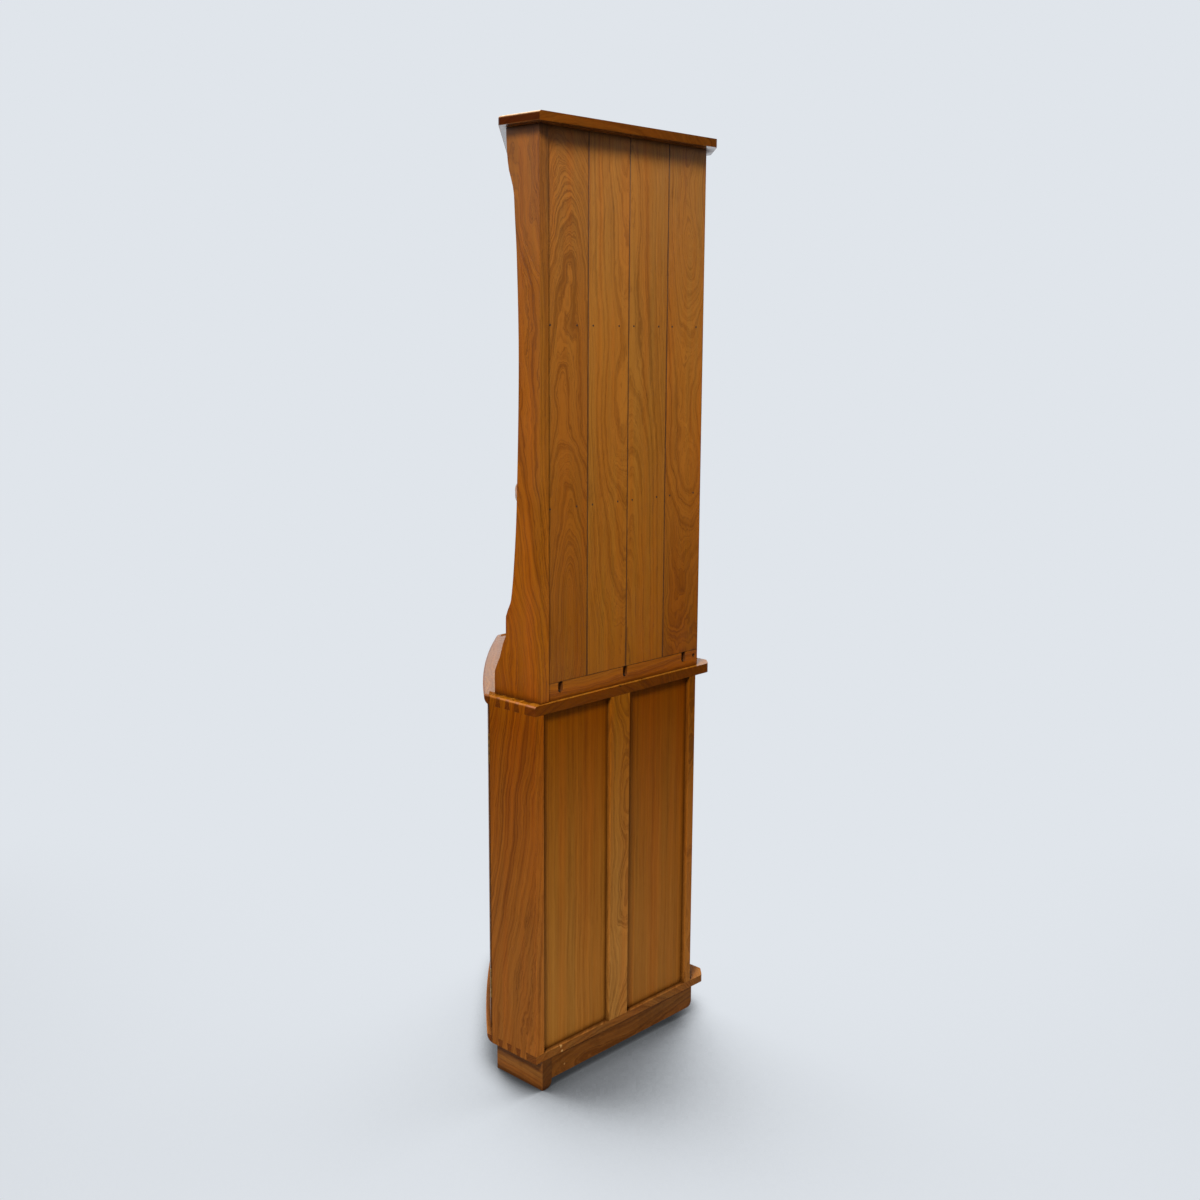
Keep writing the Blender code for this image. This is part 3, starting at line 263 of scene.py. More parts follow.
def tinted(g, colour, normal, faces):
    """A colour times the factors of the faces that are turned some way, each (direction, factors, start)."""
    for direction, factors, start in faces:
        turned = g.span(g.vector("DOT_PRODUCT", normal, direction), start, 0.95, 0.0, 1.0, True)
        colour = g.mix(turned, colour, factors, "MULTIPLY")
    return colour


def wood(name, across, face, along, centre, colour, pith=(0.0, 0.05), ring=0.0062, wave=0.15, seed=0.0,
         contrast=0.34, end_dark=0.55, gloss=0.40, dirt=0.0, edges=None, coat=0.0, worn=0.0, pores=0.5,
         sheen=0.20, tints=(), rubs=(), marks=(), figure=1.0, lines=0.34, taper=0.06, grime=0.85, patina=None,
         hidden=0.0):
    """Elm or softwood cut from its own trunk.

    across, face and along are the directions of the board's width, thickness and grain. pith is where the
    trunk's heart lies from the board's middle, across it and behind its face. edges are the two places across
    it where a board meets its neighbours, and the least and most that the dark line there reaches: dirt in
    the joints of boards and rails, and painted shade beside a return's front arris and down the door's sides.
    worn is how pale the rounded arrises are, partly from wear and partly a painted highlight.
    tints are (direction, factors, start) for the faces turned that way, from the cosine start on, and
    rubs are the same on top of the wear; most of them paint light and shade by how a face is turned to
    the lamps. marks are (place, size, colour) of chips and stains, and of a painted shade round a hole.
    figure is how strong the rings are, lines their dark late wood, and taper the trunk's narrowing. hidden is
    how near a neighbour dulls the coat.
    """
    material = bpy.data.materials.new(name)
    g = blank(material)
    turn = Matrix((across, face, along))
    stem = SEED_STEP * seed
    shift = Vector((pith[0], pith[1], stem)) - turn @ Vector(centre)
    coords = g.put("ShaderNodeTexCoord").outputs
    where = coords["Object"]
    normal = coords["Normal"]
    mapping = {"Vector": where, "Location": shift, "Rotation": turn.to_euler()}
    place = g.put("ShaderNodeMapping", mapping).outputs[0]
    grain = g.put("ShaderNodeGroup", node_tree=GRAIN)
    drift = g.maths("MULTIPLY", g.maths("SUBTRACT", g.up(place), stem), taper)
    narrowing = g.put("ShaderNodeCombineXYZ", {1: drift}).outputs[0]
    g.feed(grain.inputs["Place"], g.vector("ADD", place, narrowing))
    for key, value in (("Figure", figure), ("Lines", lines), ("Ring", ring), ("Wave", wave)):
        g.feed(grain.inputs[key], value)
    tone = grain.outputs["Tone"]
    r, gr, b = colour
    dark = (r * (1 - contrast), gr * (1 - 1.15 * contrast), b * (1 - 1.35 * contrast))
    light = (r * (1 + 0.75 * contrast), gr * (1 + 0.85 * contrast), b * (1 + 1.0 * contrast))
    base = g.ramp(tone, [(0.08, dark), (0.5, colour), (0.92, light)])
    base = g.mix(g.maths("MULTIPLY", grain.outputs["Pores"], pores), base, tuple(0.4 * c for c in dark))
    tint = g.span(grain.outputs["Cloud"], 0.3, 0.7, 0.0, 0.35)
    base = g.mix(tint, base, (r * 1.06, gr * 0.90, b * 0.66))
    hue = g.noise(place, (38, 38, 1.6), 3.0, 0.6)
    base = g.mix(1.0, base, g.ramp(hue, [(0.36, (1.04, 0.95, 0.84)), (0.64, (0.97, 1.04, 1.12))]), "MULTIPLY")
    # Painted shade: darker and redder towards the middle of the cabinet's height.
    base = g.mix(1.0, base, g.ramp(g.maths("DIVIDE", g.up(where), HEIGHT), patina or HEIGHT_SHADE), "MULTIPLY")
    ends = g.maths("ABSOLUTE", g.vector("DOT_PRODUCT", normal, along))
    ends = g.span(ends, 0.35, 0.80, 0.0, 1.0, True)
    base = g.mix(g.maths("MULTIPLY", ends, end_dark), base, (r * 0.24, gr * 0.19, b * 0.16))
    base = tinted(g, base, normal, tints)
    # Pale arrises: wear, and a painted highlight where the rounding catches the light.
    if worn:
        arris = g.rounded(g.up(normal), (0.12, 0.45), (0.90, 0.99))
        rub = g.span(g.noise(where, (22, 22, 22), 3.0, 0.6), 0.32, 0.58, 0.35, 1.0)
        bare_and_lit = (r * 2.2, gr * 2.5, b * 4.6)
        base = g.mix(g.maths("MULTIPLY", g.maths("MULTIPLY", arris, rub), worn), base, bare_and_lit)
    # Painted shade on the arrises, over the wear and painted highlight.
    base = tinted(g, base, normal, rubs)
    # Dark lines beside joints: dirt in the joints, and painted shade at a return's front arris and the door's
    # sides.
    if edges:
        low, high, narrow, wide = edges
        reach = g.vector("DOT_PRODUCT", where, across)
        near = g.maths("MINIMUM", g.maths("SUBTRACT", reach, low), g.maths("SUBTRACT", high, reach))
        waver = g.noise(where, (30, 30, 7), 3.0, 0.65)
        joint = g.span(near, 0.0002, g.span(waver, 0.36, 0.66, narrow, wide), 0.80, 0.0, True)
        joint = g.maths("MULTIPLY", joint, g.span(g.up(normal), 0.3, 0.7, 1.0, 0.0))
        base = g.mix(joint, base, (r * 0.07, gr * 0.05, b * 0.04))
    smear = g.noise(where, (26, 26, 26), 4.0, 0.6)
    # Chips, stains, and a painted shade round a hole.
    for spot, size, shade in marks:
        tear = g.vector("MULTIPLY", g.noise(where, grey(400.0), 3.0, 0.6, True), grey(2 * MARK_TEAR))
        ragged = g.vector("ADD", where, tear)
        away = g.vector("LENGTH", g.vector("SUBTRACT", ragged, spot + Vector(grey(MARK_TEAR))))
        base = g.mix(g.span(away, 0.4 * size, size, 0.9, 0.0, True), base, shade)
    if dirt:
        base = g.mix(g.span(smear, 0.45, 0.72, 0.0, dirt, True), base, (r * 0.35, gr * 0.33, b * 0.36))
    # Dirt and painted shade in corners and recesses, where the space round a point is closed in.
    corner = g.maths("MULTIPLY_ADD", smear, 0.16, g.hollow(CORNER_DIRT_AND_SHADE_REACH, 6))
    base = g.mix(g.span(corner, 0.62, 1.0, grime, 0.0, True), base, (r * 0.18, gr * 0.14, b * 0.12))
    wax = g.noise(where, (16, 16, 9), 3.0, 0.55)
    rough = g.span(wax, 0.3, 0.7, gloss - 0.06, gloss + 0.09)
    rough = g.maths("MULTIPLY_ADD", grain.outputs["Pores"], 0.2, rough)
    rough = g.maths("MULTIPLY_ADD", ends, 0.15, rough)
    relief = g.maths("MULTIPLY_ADD", grain.outputs["Pores"], -0.9, tone)
    bump = g.put("ShaderNodeBump", {"Height": relief, "Strength": 0.35, "Distance": GRAIN_RELIEF})
    values = {"Base Color": base, "Roughness": rough, "Normal": bump.outputs[0], "Specular IOR Level": sheen}
    shader = g.put("ShaderNodeBsdfPrincipled", values)
    if coat:
        weight = g.span(ends, 0.2, 0.8, coat, 0.0)
        arris = g.rounded(g.maths("ABSOLUTE", g.up(normal)), (0.05, 0.30), (0.80, 0.97))
        weight = g.maths("MULTIPLY", weight, g.span(arris, 0.0, 1.0, 1.0, 0.08))
        if hidden:
            weight = g.maths("MULTIPLY", weight, g.span(g.hollow(hidden, 12), 0.55, 0.80, 0.0, 1.0, True))
        g.feed(shader.inputs["Coat Weight"], weight)
        g.feed(shader.inputs["Coat Roughness"], COAT_ROUGH)
    g.surface(shader)
    return material


def metal(name, colour, tarnish, rough, metallic=1.0):
    """Brass, steel, plastic or glue with a film of tarnish, fine scratches and finger marks."""
    material = bpy.data.materials.new(name)
    g = blank(material)
    place = g.put("ShaderNodeTexCoord").outputs["Object"]
    blotch = g.noise(place, grey(140.0), 4.0, 0.6)
    scratch = g.noise(place, (1800, 1800, 130), 2.0, 0.6)
    base = g.mix(g.span(blotch, 0.38, 0.68, 0.0, 0.8, True), colour, tarnish)
    level = g.maths("MULTIPLY_ADD", blotch, 0.22, g.span(scratch, 0.3, 0.7, rough - 0.10, rough + 0.05))
    bump = g.put("ShaderNodeBump", {"Height": scratch, "Strength": 0.4, "Distance": SCRATCH_RELIEF})
    values = {"Base Color": base, "Roughness": level, "Normal": bump.outputs[0], "Metallic": metallic}
    g.surface(g.put("ShaderNodeBsdfPrincipled", values))
    return material


# A painted shade: the wood is painted darker and redder towards the middle of the cabinet's height, where
# less light falls on it: share of its height, and a tint.
HEIGHT_SHADE = [(0.00, (1.00, 1.00, 1.00)), (0.12, (1.00, 0.99, 0.96)), (0.24, (0.90, 0.82, 0.62)),
          (0.40, (0.66, 0.49, 0.09)), (0.46, (0.82, 0.68, 0.22)), (0.70, (0.94, 0.86, 0.62)),
          (0.95, (0.93, 0.91, 0.86))]
# The same painted shade by height for the returns, the lower panels and the corner board.
RETURN_HEIGHT_SHADE = [(0.00, (1.05, 1.05, 0.95)), (0.12, (1.03, 1.02, 0.90)), (0.24, (0.94, 0.86, 0.58)),
                 (0.40, (0.74, 0.52, 0.03)), (0.46, (0.94, 0.77, 0.11)), (0.70, (0.84, 0.75, 0.38)),
                 (0.95, (0.58, 0.57, 0.46))]
PANEL_HEIGHT_SHADE = [(0.00, (0.98, 0.97, 0.94)), (0.12, (0.96, 0.94, 0.88)), (0.24, (0.84, 0.75, 0.50)),
                (0.40, (0.57, 0.38, 0.01))]
CORNER_HEIGHT_SHADE = [(0.40, (0.54, 0.35, 0.05)), (0.46, (0.66, 0.48, 0.12)), (0.70, (1.02, 0.88, 0.62)),
                 (0.95, (0.93, 0.91, 0.86))]

# Colours, as linear light.
GOLD = linear(158, 102, 40)
BROWN = linear(152, 96, 36)
RAIL_BROWN = linear(163, 100, 32)
# The returns' own darker, redder wood, painted darker still as shade, since the main lamp lights their outer
# faces more than the walls.
RETURN_BROWN_SHADED = linear(122, 71, 22)
PANEL = linear(156, 100, 36)
INNER_PANEL = linear(151, 94, 32)
PALE = linear(162, 107, 44)
UMBER = linear(118, 70, 22)
FOOT_BROWN = linear(110, 64, 19)
EDGE_BROWN = linear(150, 92, 34)
PINE = linear(196, 154, 100)

BRASS = metal("brass", linear(158, 120, 64), linear(70, 48, 24), 0.38)
STEEL = metal("steel", linear(150, 147, 142), linear(88, 82, 76), 0.36)
IRON = metal("nail_iron", linear(50, 33, 20), linear(26, 17, 10), 0.55, 0.2)
GLUE = metal("old_glue", linear(58, 34, 14), linear(34, 20, 9), 0.60, 0.0)
DULL_STEEL = metal("dull_steel", linear(54, 43, 33), linear(30, 22, 15), 0.50, 0.6)
PLASTIC = metal("brown_plastic", linear(62, 48, 38), linear(46, 35, 28), 0.42, 0.0)

# Each kind of wooden piece: the directions of its width, face and grain.
UPRIGHT = {s: (ALONG[s], OUT[s], Z) for s in OUT}
RETURN = {s: (OUT[s], ALONG[s], Z) for s in OUT}
WALL_RAIL = {s: (Z, OUT[s], ALONG[s]) for s in OUT}
RETURN_RAIL = {s: (Z, ALONG[s], OUT[s]) for s in OUT}
LEVEL = (Y, Z, X)
SQUARE_ON = (X, Y, Z)

# Factors on faces that are turned some way, from a cosine on: end grain on the returns' side, a painted sheen
# on the waxed upper faces, the returns' back edges painted lighter than their shaded outer faces, and the
# cornice's edges in painted shade, with a painted highlight on its arrises and painted shade on its
# underside.
PIN_DARK = [(ALONG[s], (0.54, 0.45, 0.32), 0.6) for s in ALONG]
# A painted sheen on the upper faces of the base top, the base sides and the bottom board.
UPPER_FACE_SHEEN = [(Z, (1.7, 2.2, 3.6), 0.6)]
LOWER_BOARD_SHEEN = [(Z, (1.15, 1.25, 1.7), 0.6)]
# The returns' back edges painted lighter again than their shaded outer faces.
BACK_EDGE_LIGHT = {s: [(OUT[s], (1.65, 1.75, 2.0), 0.6)] for s in OUT}
# The cornice's ends and wall edges in painted shade, its upper arrises with a painted highlight and its
# underside in painted shade.
CORNICE_SHADE_AND_HIGHLIGHT = [(ALONG["right"], (0.16, 0.09, 0.04), 0.6), (ALONG["left"], (0.60, 0.50, 0.38), 0.6)]
CORNICE_SHADE_AND_HIGHLIGHT += [(OUT[s], (0.72, 0.62, 0.42), 0.6) for s in OUT]
CORNICE_SHADE_AND_HIGHLIGHT += [((ALONG[s] + Z) / R2, (2.6, 6.0, 30.0), 0.8) for s in ALONG]
CORNICE_SHADE_AND_HIGHLIGHT += [(-Z, (0.40, 0.32, 0.25), 0.6)]
# The base top's wall edges in painted shade.
TOP_EDGE_SHADE = [(OUT[s], (0.78, 0.70, 0.44), 0.6) for s in OUT]
# A painted shade over the pale arrises on the returns' side, which face the main lamp.
RETURN_ARRIS_SHADE = [((ALONG[s] + Z) / R2, (0.50, 0.47, 0.70), 0.72) for s in ALONG]
# Dark lines, each as two places across the piece and the least and most reach of the line: painted shade down
# the front arris of a base return and down the sides of the door, and dirt along the top of each rail.
FRONT_SHADE_LINE = (0.0523, 1.0, 0.0024, 0.0036)
DOOR_SHADE_LINE = (-0.2507, 0.2507, 0.030, 0.060)
RAIL_LINE = (0.0, RAIL_TOP - JOINT_GAP, 0.0006, 0.0024)
# The reach beside the joints of the upper boards, and how far the line is moved off the first board's outer
# edge, which the return covers.
BOARD_LINE = (0.0002, 0.0019)
CLEAN_EDGE = 0.01
# Chips and worn flecks: place, size and colour.
CHIPS = [(wall_point(0.0010, 0.2952, 0.7785), 0.0042, linear(48, 26, 8))]
SCARS = [(wall_point(0.0, 0.4594, 0.0772), 0.0042, linear(206, 156, 92)),
         (wall_point(0.0, 0.4566, 0.0650), 0.0034, linear(190, 140, 78))]
FLECKS = [(wall_point(0.0, 0.4481, 0.0333), 0.0030, linear(170, 118, 62)),
          (wall_point(0.0, 0.4396, 0.0148), 0.0028, linear(176, 124, 66))]
# A painted shade round the small hole in each rail, which makes its dark mouth look wider.
HOLE_SHADE = {s: [(wall_point(BOARD_BACK, 0.06285, 0.8016, s), 0.0056, linear(26, 14, 5))] for s in OUT}

# name: directions, colour and the wood's own values.
WOODS = {
    "cornice": (LEVEL, EDGE_BROWN, dict(
        pith=(0.05, 0.09), end_dark=0.55, seed=1, coat=1.0, worn=0.15, sheen=0.02, hidden=0.05,
        tints=CORNICE_SHADE_AND_HIGHLIGHT)),
    "base_top": (LEVEL, EDGE_BROWN, dict(
        pith=(0.02, 0.07), end_dark=0.45, seed=2, gloss=0.30, coat=0.7, worn=1.0, grime=0.2, sheen=0.04,
        tints=PIN_DARK + TOP_EDGE_SHADE + UPPER_FACE_SHEEN, rubs=RETURN_ARRIS_SHADE, marks=CHIPS)),
    "base_bottom": (LEVEL, EDGE_BROWN, dict(
        pith=(-0.03, 0.08), end_dark=0.45, seed=3, worn=0.35, sheen=0.05, tints=PIN_DARK + LOWER_BOARD_SHEEN,
        marks=SCARS)),
    "shelf_upper": (LEVEL, BROWN, dict(pith=(0.04, 0.06), seed=4)),
    "shelf_lower": (LEVEL, BROWN, dict(pith=(-0.05, 0.07), seed=5)),
    "cupboard_shelf": (LEVEL, PANEL, dict(
        pith=(0.3, 0.02), ring=0.003, wave=0.05, seed=6, contrast=0.18, pores=0.2)),
    "door_panel": (SQUARE_ON, GOLD, dict(pith=(0.03, -0.09), seed=7, sheen=0.08, edges=DOOR_SHADE_LINE)),
    "door_knob": (SQUARE_ON, BROWN, dict(pith=(0.01, 0.02), ring=0.0025, wave=0.02, seed=8, end_dark=0.2)),
    "plinth_front": ((Z, Y, X), UMBER, dict(pith=(0.03, 0.06), seed=9)),
    "plinth_rear_foot": (SQUARE_ON, PINE, dict(pith=(0.04, 0.03), seed=10)),
    "upper_corner_board": (SQUARE_ON, BROWN, dict(pith=(0.02, 0.05), seed=11)),
    "base_corner_post": (SQUARE_ON, BROWN, dict(pith=(0.05, 0.04), seed=12, sheen=0.03)),
}
# The upper boards, counted from the return: colour and the wood's own values.
BOARD_CUTS = {
    1: (linear(144, 89, 32), dict(pith=(0.004, 0.060), wave=0.12, taper=0.12, figure=1.15)),
    2: (GOLD, dict(pith=(0.045, 0.045), wave=0.07, taper=-0.08, figure=0.80)),
    3: (GOLD, dict(pith=(-0.050, 0.045), wave=0.06, taper=0.08, figure=0.80)),
    4: (GOLD, dict(pith=(0.006, 0.055), wave=0.12, taper=-0.12, figure=0.9, patina=CORNER_HEIGHT_SHADE)),
}
for k, s in enumerate(("right", "left")):
    for i, (colour, values) in BOARD_CUTS.items():
        values = dict(values, ring=0.0036, contrast=0.31, seed=20 + 5 * k + i)
        WOODS[f"upper_board_{s}_{i}"] = (UPRIGHT[s], colour, values)
    flat = dict(ring=0.0075, wave=0.045, contrast=0.36, pores=0.1, sheen=0.03, figure=0.75, lines=0.10,
                taper=0.0, patina=PANEL_HEIGHT_SHADE)
    back = dict(patina=RETURN_HEIGHT_SHADE, contrast=0.38)
    WOODS.update({
        f"upper_side_{s}": (RETURN[s], RETURN_BROWN_SHADED, dict(
            back, pith=(0.012, 0.055), ring=0.0048, wave=0.11, taper=0.14, seed=30 + k, tints=BACK_EDGE_LIGHT[s])),
        f"base_side_{s}": (RETURN[s], RETURN_BROWN_SHADED, dict(
            back, pith=(-0.004, 0.060), ring=0.0052, wave=0.08, taper=-0.20, seed=32 + k, sheen=0.04,
            worn=0.8, end_dark=0.0, tints=BACK_EDGE_LIGHT[s] + UPPER_FACE_SHEEN, edges=FRONT_SHADE_LINE)),
        f"door_jamb_{s}": (RETURN[s], BROWN, dict(pith=(0.03, 0.05), seed=34 + k)),
        f"base_muntin_{s}": (UPRIGHT[s], PALE, dict(pith=(0.020, 0.030), wave=0.12, seed=36 + k, sheen=0.04)),
        f"base_panel_{s}_inner": (UPRIGHT[s], INNER_PANEL, dict(flat, pith=(0.32, 0.01), seed=38 + k)),
        f"base_panel_{s}_outer": (UPRIGHT[s], PANEL, dict(flat, pith=(-0.30, 0.01), seed=40 + k)),
        f"upper_rail_{s}": (WALL_RAIL[s], RAIL_BROWN, dict(
            pith=(0.02, 0.05), wave=0.10, seed=42 + k, end_dark=0.3, marks=HOLE_SHADE[s], edges=RAIL_LINE)),
        f"plinth_rail_{s}": (WALL_RAIL[s], FOOT_BROWN, dict(
            pith=(0.06, 0.03), wave=0.06, seed=44 + k, dirt=0.4, sheen=0.04,
            marks=FLECKS if s == "right" else ())),
        f"plinth_side_{s}": (RETURN_RAIL[s], UMBER, dict(
            pith=(0.06, 0.04), wave=0.06, seed=46 + k, dirt=0.3, sheen=0.08)),
        f"cornice_batten_{s}": (WALL_RAIL[s], PINE, dict(pith=(0.03, 0.04), seed=48 + k)),
        f"cupboard_cleat_{s}": (WALL_RAIL[s], PINE, dict(pith=(0.03, 0.05), seed=50 + k)),
    })


def face_edges(obj, across, face):
    """Where a board's outer face starts and ends across the wall."""
    points = [v.co for v in obj.data.vertices]
    outer = max(p.dot(face) for p in points)
    reach = [p.dot(across) for p in points if p.dot(face) > outer - FACE_TOL]
    return min(reach), max(reach)


for name, obj in nodes.items():
    if name in WOODS:
        directions, colour, values = WOODS[name]
        middle = sum((Vector(p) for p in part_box(name)), Vector()) / 2
        if name.startswith("upper_board"):
            low, high = face_edges(obj, *directions[:2])
            if name.endswith("_1"):
                high += CLEAN_EDGE
            values["edges"] = (low, high, *BOARD_LINE)
        material = wood(name, *directions, middle, colour, **values)
    elif name.startswith("hinge"):
        material = BRASS
    elif name == "catch_case":
        material = PLASTIC
    elif name.startswith("pocket_screw"):
        material = DULL_STEEL
    else:
        material = STEEL
    obj.data.materials.clear()
    obj.data.materials.append(material)


def add_head(mesh, at, out, radius, rise, slot_turn=None):
    """A nail or screw head on a surface: a low dome with a rounded rim, and a slot across it for a screw."""
    out = out.normalized()
    side = out.orthogonal().normalized()
    if slot_turn is not None:
        side = Matrix.Rotation(slot_turn, 3, out) @ side
    other = out.cross(side)
    rings = []
    for r, h in HEAD_PROFILE:
        ring = []
        for k in range(HEAD_SIDES):
            a = 2 * math.pi * k / HEAD_SIDES
            flat = side * math.cos(a) * r * radius + other * math.sin(a) * r * radius
            lift = h * rise
            if slot_turn is not None and h > HEAD_TOP and abs(math.sin(a) * r) < SLOT_HALF:
                lift *= SLOT_FLOOR
            ring.append(mesh.verts.new(at + flat + out * lift))
        rings.append(ring)
    skin(mesh, rings)


def skin(mesh, rings):
    """Joins cross-sections of equal counts into one closed skin."""
    count = len(rings[0])
    for lower, upper in zip(rings, rings[1:]):
        for k in range(count):
            mesh.faces.new((lower[k], lower[(k + 1) % count], upper[(k + 1) % count], upper[k]))
    mesh.faces.new(rings[-1])
    mesh.faces.new(rings[0][::-1])


def add_heads(name, heads, material, body):
    """One piece made of several nail or screw heads."""
    mesh = bmesh.new()
    for head in heads:
        add_head(mesh, *head)
    finish_piece(name, mesh, material, body)


def finish_piece(name, mesh, material, body):
    """A new piece of the cabinet from its mesh, smooth where its faces have four sides."""
    data = bpy.data.meshes.new(name)
    bmesh.ops.recalc_face_normals(mesh, faces=mesh.faces)
    mesh.to_mesh(data)
    mesh.free()
    for polygon in data.polygons:
        polygon.use_smooth = len(polygon.vertices) == 4
    data.materials.append(material)
    obj = bpy.data.objects.new(name, data)
    bpy.context.scene.collection.objects.link(obj)
    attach(obj, body)


def add_glue(name, rings):
    """A thin line of old glue along a joint, from its cross-sections of four points."""
    mesh = bmesh.new()
    skin(mesh, [[mesh.verts.new(p) for p in ring] for ring in rings])
    finish_piece(name, mesh, GLUE, "carcase")


def steps(low, high, count):
    """Places from low to high, evenly apart."""
    return [low + (high - low) * k / count for k in range(count + 1)]


def glue_ebb(k):
    """How far the glue stays behind the boards' faces, uneven from step to step."""
    least, swing = GLUE_EBB
    return least + swing * math.sin(0.9 * k) * math.cos(0.37 * k)


def corner_glue(side):
    """Cross-sections of the joint between the last wall board and the corner board, from foot to head."""
    low, high = (Vector(p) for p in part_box("upper_corner_board"))
    corner = (Y_REF - high.y) * R2 - BOARD_BACK
    rings = []
    heights = steps(low.z + GLUE_STOP, RAIL_TOP - RAIL_STEP, FOOT_STEPS)
    heights += steps(RAIL_TOP, high.z - GLUE_STOP, HEAD_STEPS)
    for k, z in enumerate(heights):
        near, far = CORNER_GLUE
        if z < RAIL_TOP:
            far = CORNER_GLUE_AT_RAIL
        back, front = glue_ebb(k), BOARD_T - glue_ebb(k + 5)
        corners = ((back, near), (front, near), (front, far), (back, far))
        rings.append([wall_point(BOARD_BACK + u, corner + (R2 - 1) * u + v, z, side) for u, v in corners])
    return rings


def rail_glue(side):
    """Cross-sections of the joint between the wall boards and the rail under them, from the corner out."""
    low, high = face_edges(nodes[f"upper_rail_{side}"], ALONG[side], OUT[side])
    start = Y_REF / R2
    rings = []
    for k, v in enumerate(steps(low + start + GLUE_START, high + start - GLUE_STOP, RAIL_STEPS)):
        back, front = glue_ebb(k), BOARD_T - glue_ebb(k + 5)
        corners = ((back, -RAIL_GLUE), (front, -RAIL_GLUE), (front, RAIL_GLUE), (back, RAIL_GLUE))
        rings.append([wall_point(BOARD_BACK + u, v, RAIL_TOP + rise, side) for u, rise in corners])
    return rings


for s in OUT:
    add_glue(f"corner_glue_{s}", corner_glue(s))
    add_glue(f"rail_glue_{s}", rail_glue(s))
    nails = []
    for z in NAIL_ROWS:
        for i in range(BOARD_COUNT):
            for first, step in NAIL_COLUMNS:
                at = wall_point(BOARD_BACK - NAIL_SINK, first - step * i, z, s)
                nails.append((at, OUT[s], *NAIL_HEAD))
    add_heads(f"board_nails_{s}", nails, IRON, "carcase")

frame_screws = []
door_screws = []
for k, z in enumerate(HINGE_Z):
    for j, rise in enumerate(HINGE_SCREW_RISES):
        y = Y_REF - D_LEAF
        slot_turn = 0.5 + 1.3 * k + 0.9 * j
        frame_screws.append((Vector((X_JAMB, y, z + rise)), -X, *HINGE_HEAD, slot_turn))
        door_screws.append((Vector((X_DOOR, y, z + rise)), X, *HINGE_HEAD, slot_turn + 0.8))
add_heads("hinge_frame_screws", frame_screws, BRASS, "carcase")
add_heads("hinge_door_screws", door_screws, BRASS, "door")

low, high = (Vector(p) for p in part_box("catch_case"))
catch_screws = []
for x in (low.x + CATCH_SCREW_IN, high.x - CATCH_SCREW_IN):
    at = Vector((x, (low.y + high.y) / 2 + CATCH_SCREW_BACK, low.z))
    catch_screws.append((at, -Z, *CATCH_HEAD, x * CATCH_SPIN))
add_heads("catch_screws", catch_screws, STEEL, "carcase")

plate = nodes["catch_strike"]
corners = [plate.matrix_world @ v.co for v in plate.data.vertices]
plate_tree = BVHTree.FromPolygons(corners, [tuple(f.vertices) for f in plate.data.polygons])
low, high = (Vector(p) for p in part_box("catch_strike"))
strike_screws = []
for x in (low.x + STRIKE_SCREW_IN, high.x - STRIKE_SCREW_IN):
    start = Vector((x, high.y + RAY_START, (low.z + high.z) / 2))
    at, out, _, _ = plate_tree.ray_cast(start, -Y)
    strike_screws.append((at, out, *STRIKE_HEAD, x * STRIKE_SPIN))
add_heads("strike_screws", strike_screws, STEEL, "door")

# Studio: a pale surround with a floor that keeps the cabinet's shadow, dark screens at both sides, and three
# lamps: the main one above on the camera's side, one at the front right, and one behind without shine.
SURROUND = linear(224, 229, 235)
FLOOR = linear(208, 213, 219)
FLOOR_R = 14.0
WORLD_LEVEL = 0.10
# How much of the surround's light the floor keeps, by how open the space towards the cabinet's back is.
FLOOR_SHADE = [(0.50, grey(0.15)), (0.54, grey(0.22)), (0.605, grey(0.44)), (0.68, grey(0.71)),
               (0.754, grey(0.87)), (0.822, grey(0.945)), (0.887, grey(0.985)), (0.96, grey(1.0))]
SHADE_TOWARDS = (-0.978, -0.147, 0.147)
# And how much of that is left close under the plinth.
FLOOR_TOUCH = [(0.45, grey(0.25)), (0.62, grey(0.75)), (0.80, grey(1.0))]
# The screens: x and z from and to, and their places.
SCREEN_X = (-1.2, 2.4)
SCREEN_Z = (0.12, 1.75)
SCREENS = {"flag_right": 1.8, "flag_left": -1.8}
# The lamps: place, aim, size, power, and whether they show in reflections.
LAMPS = {
    "main": ((2.8, -0.75, 3.2), (0.25, 0.0, 1.2), (0.8, 0.8), 190.0, True),
    "side": ((1.9, -2.6, 2.3), (0.25, -0.1, 1.1), (1.2, 1.2), 38.0, True),
    "back": ((-1.5, 1.2, 2.0), (0.0, 0.2, 0.3), (0.8, 0.8), 22.0, False),
}
# The camera: lens and film width in millimetres, its place, and where it looks and its right-hand direction.
LENS = 42.196
FILM = 36.0
CAMERA_AT = (2.8925, -0.0697, 1.4514)
CAMERA_FORWARD = Vector((-0.98263048, 0.02693246, -0.18360823))
CAMERA_RIGHT = Vector((0.02634068, 0.99963699, 0.00566164))


def stage_piece(name, mesh):
    """A piece of the studio from its mesh, with the graph of a new material on it."""
    data = bpy.data.meshes.new(name)
    mesh.to_mesh(data)
    mesh.free()
    obj = bpy.data.objects.new(name, data)
    bpy.context.scene.collection.objects.link(obj)
    material = bpy.data.materials.new(name)
    data.materials.append(material)
    return obj, blank(material)


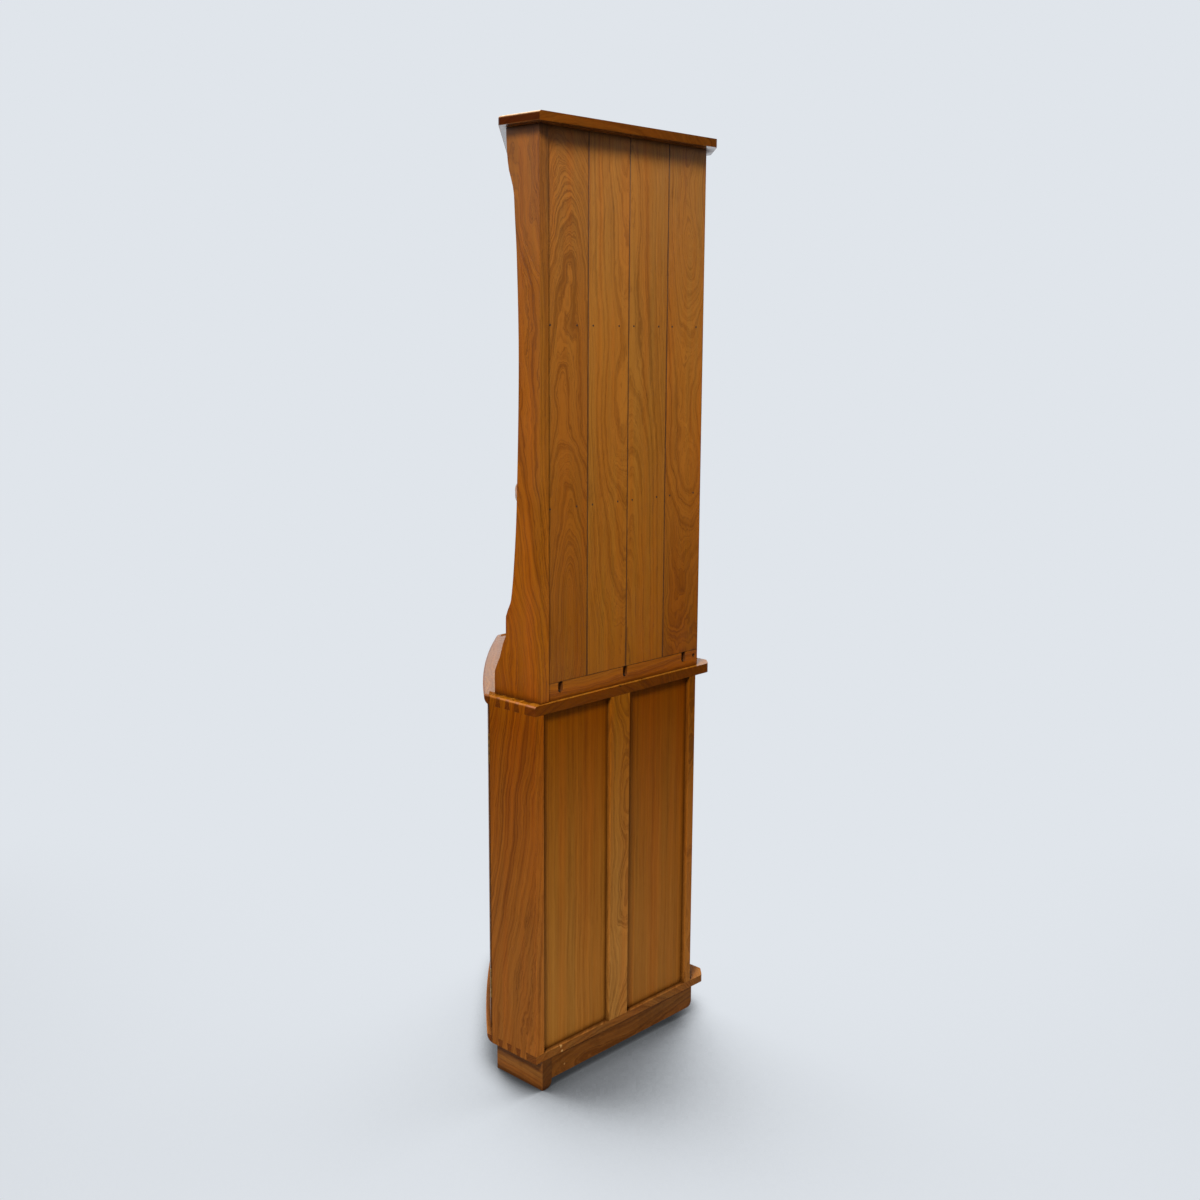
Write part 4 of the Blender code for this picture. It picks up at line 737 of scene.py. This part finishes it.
def make_floor():
    """A floor that looks as bright as the surround but for the cabinet's soft shadow."""
    mesh = bmesh.new()
    bmesh.ops.create_circle(mesh, cap_ends=True, segments=96, radius=FLOOR_R)
    _, g = stage_piece("floor", mesh)
    place = g.put("ShaderNodeTexCoord").outputs["Object"]
    speck = g.noise(place, grey(90.0), 3.0, 0.6)
    paint = g.mix(speck, tuple(c * 0.97 for c in FLOOR), tuple(c * 1.03 for c in FLOOR))
    matt = g.put("ShaderNodeBsdfDiffuse", {"Color": paint})
    towards = g.put("ShaderNodeCombineXYZ", dict(enumerate(SHADE_TOWARDS))).outputs[0]
    open_sky = g.hollow(1.6, 32, towards)
    touch = g.hollow(0.09, 12)
    shade = g.mix(1.0, g.ramp(open_sky, FLOOR_SHADE), g.ramp(touch, FLOOR_TOUCH), "MULTIPLY")
    pale = g.mix(1.0, shade, SURROUND, "MULTIPLY")
    glow = g.put("ShaderNodeEmission", {"Color": pale, "Strength": 1.0})
    g.surface(g.put("ShaderNodeMixShader", {0: g.seen(), 1: matt.outputs[0], 2: glow.outputs[0]}))


def make_world():
    """The surround: pale where it is seen, and a little light where it isn't."""
    world = bpy.data.worlds.new("studio")
    bpy.context.scene.world = world
    g = blank(world)
    light = g.put("ShaderNodeBackground", {"Color": (1.0, 0.99, 0.98, 1.0), "Strength": WORLD_LEVEL})
    pale = g.put("ShaderNodeBackground", {"Color": (*SURROUND, 1.0), "Strength": 1.0})
    both = g.put("ShaderNodeMixShader", {0: g.seen(), 1: light.outputs[0], 2: pale.outputs[0]})
    g.surface(both, "ShaderNodeOutputWorld")


def make_light(name, at, aim, size, power, shine):
    data = bpy.data.lights.new(name, "AREA")
    data.shape = "RECTANGLE"
    data.size, data.size_y = size
    data.energy = power
    obj = bpy.data.objects.new(name, data)
    obj.location = at
    obj.rotation_euler = (Vector(aim) - Vector(at)).to_track_quat("-Z", "Y").to_euler()
    obj.visible_camera = False
    obj.visible_glossy = shine
    bpy.context.scene.collection.objects.link(obj)


def make_flag(name, y):
    """A dark screen beside the studio, which keeps the wood's sheen from greying."""
    mesh = bmesh.new()
    (x0, x1), (z0, z1) = SCREEN_X, SCREEN_Z
    corners = [(x0, y, z0), (x1, y, z0), (x1, y, z1), (x0, y, z1)]
    mesh.faces.new([mesh.verts.new(c) for c in corners])
    flag, g = stage_piece(name, mesh)
    flag.visible_camera = False
    weave = g.noise(g.put("ShaderNodeTexCoord").outputs["Object"], grey(60.0), 3.0, 0.6)
    g.surface(g.put("ShaderNodeBsdfDiffuse", {"Color": g.mix(weave, grey(0.010), grey(0.016))}))


def make_camera():
    data = bpy.data.cameras.new("camera")
    data.lens = LENS
    data.sensor_width = FILM
    camera = bpy.data.objects.new("camera", data)
    up = CAMERA_RIGHT.cross(CAMERA_FORWARD)
    turn = Matrix((CAMERA_RIGHT, up, -CAMERA_FORWARD)).transposed()
    camera.matrix_world = Matrix.Translation(CAMERA_AT) @ turn.to_4x4()
    bpy.context.scene.collection.objects.link(camera)
    bpy.context.scene.camera = camera


make_floor()
make_world()
for name, y in SCREENS.items():
    make_flag(name, y)
for name, values in LAMPS.items():
    make_light(name, *values)
make_camera()
bpy.context.scene.view_settings.view_transform = "Standard"
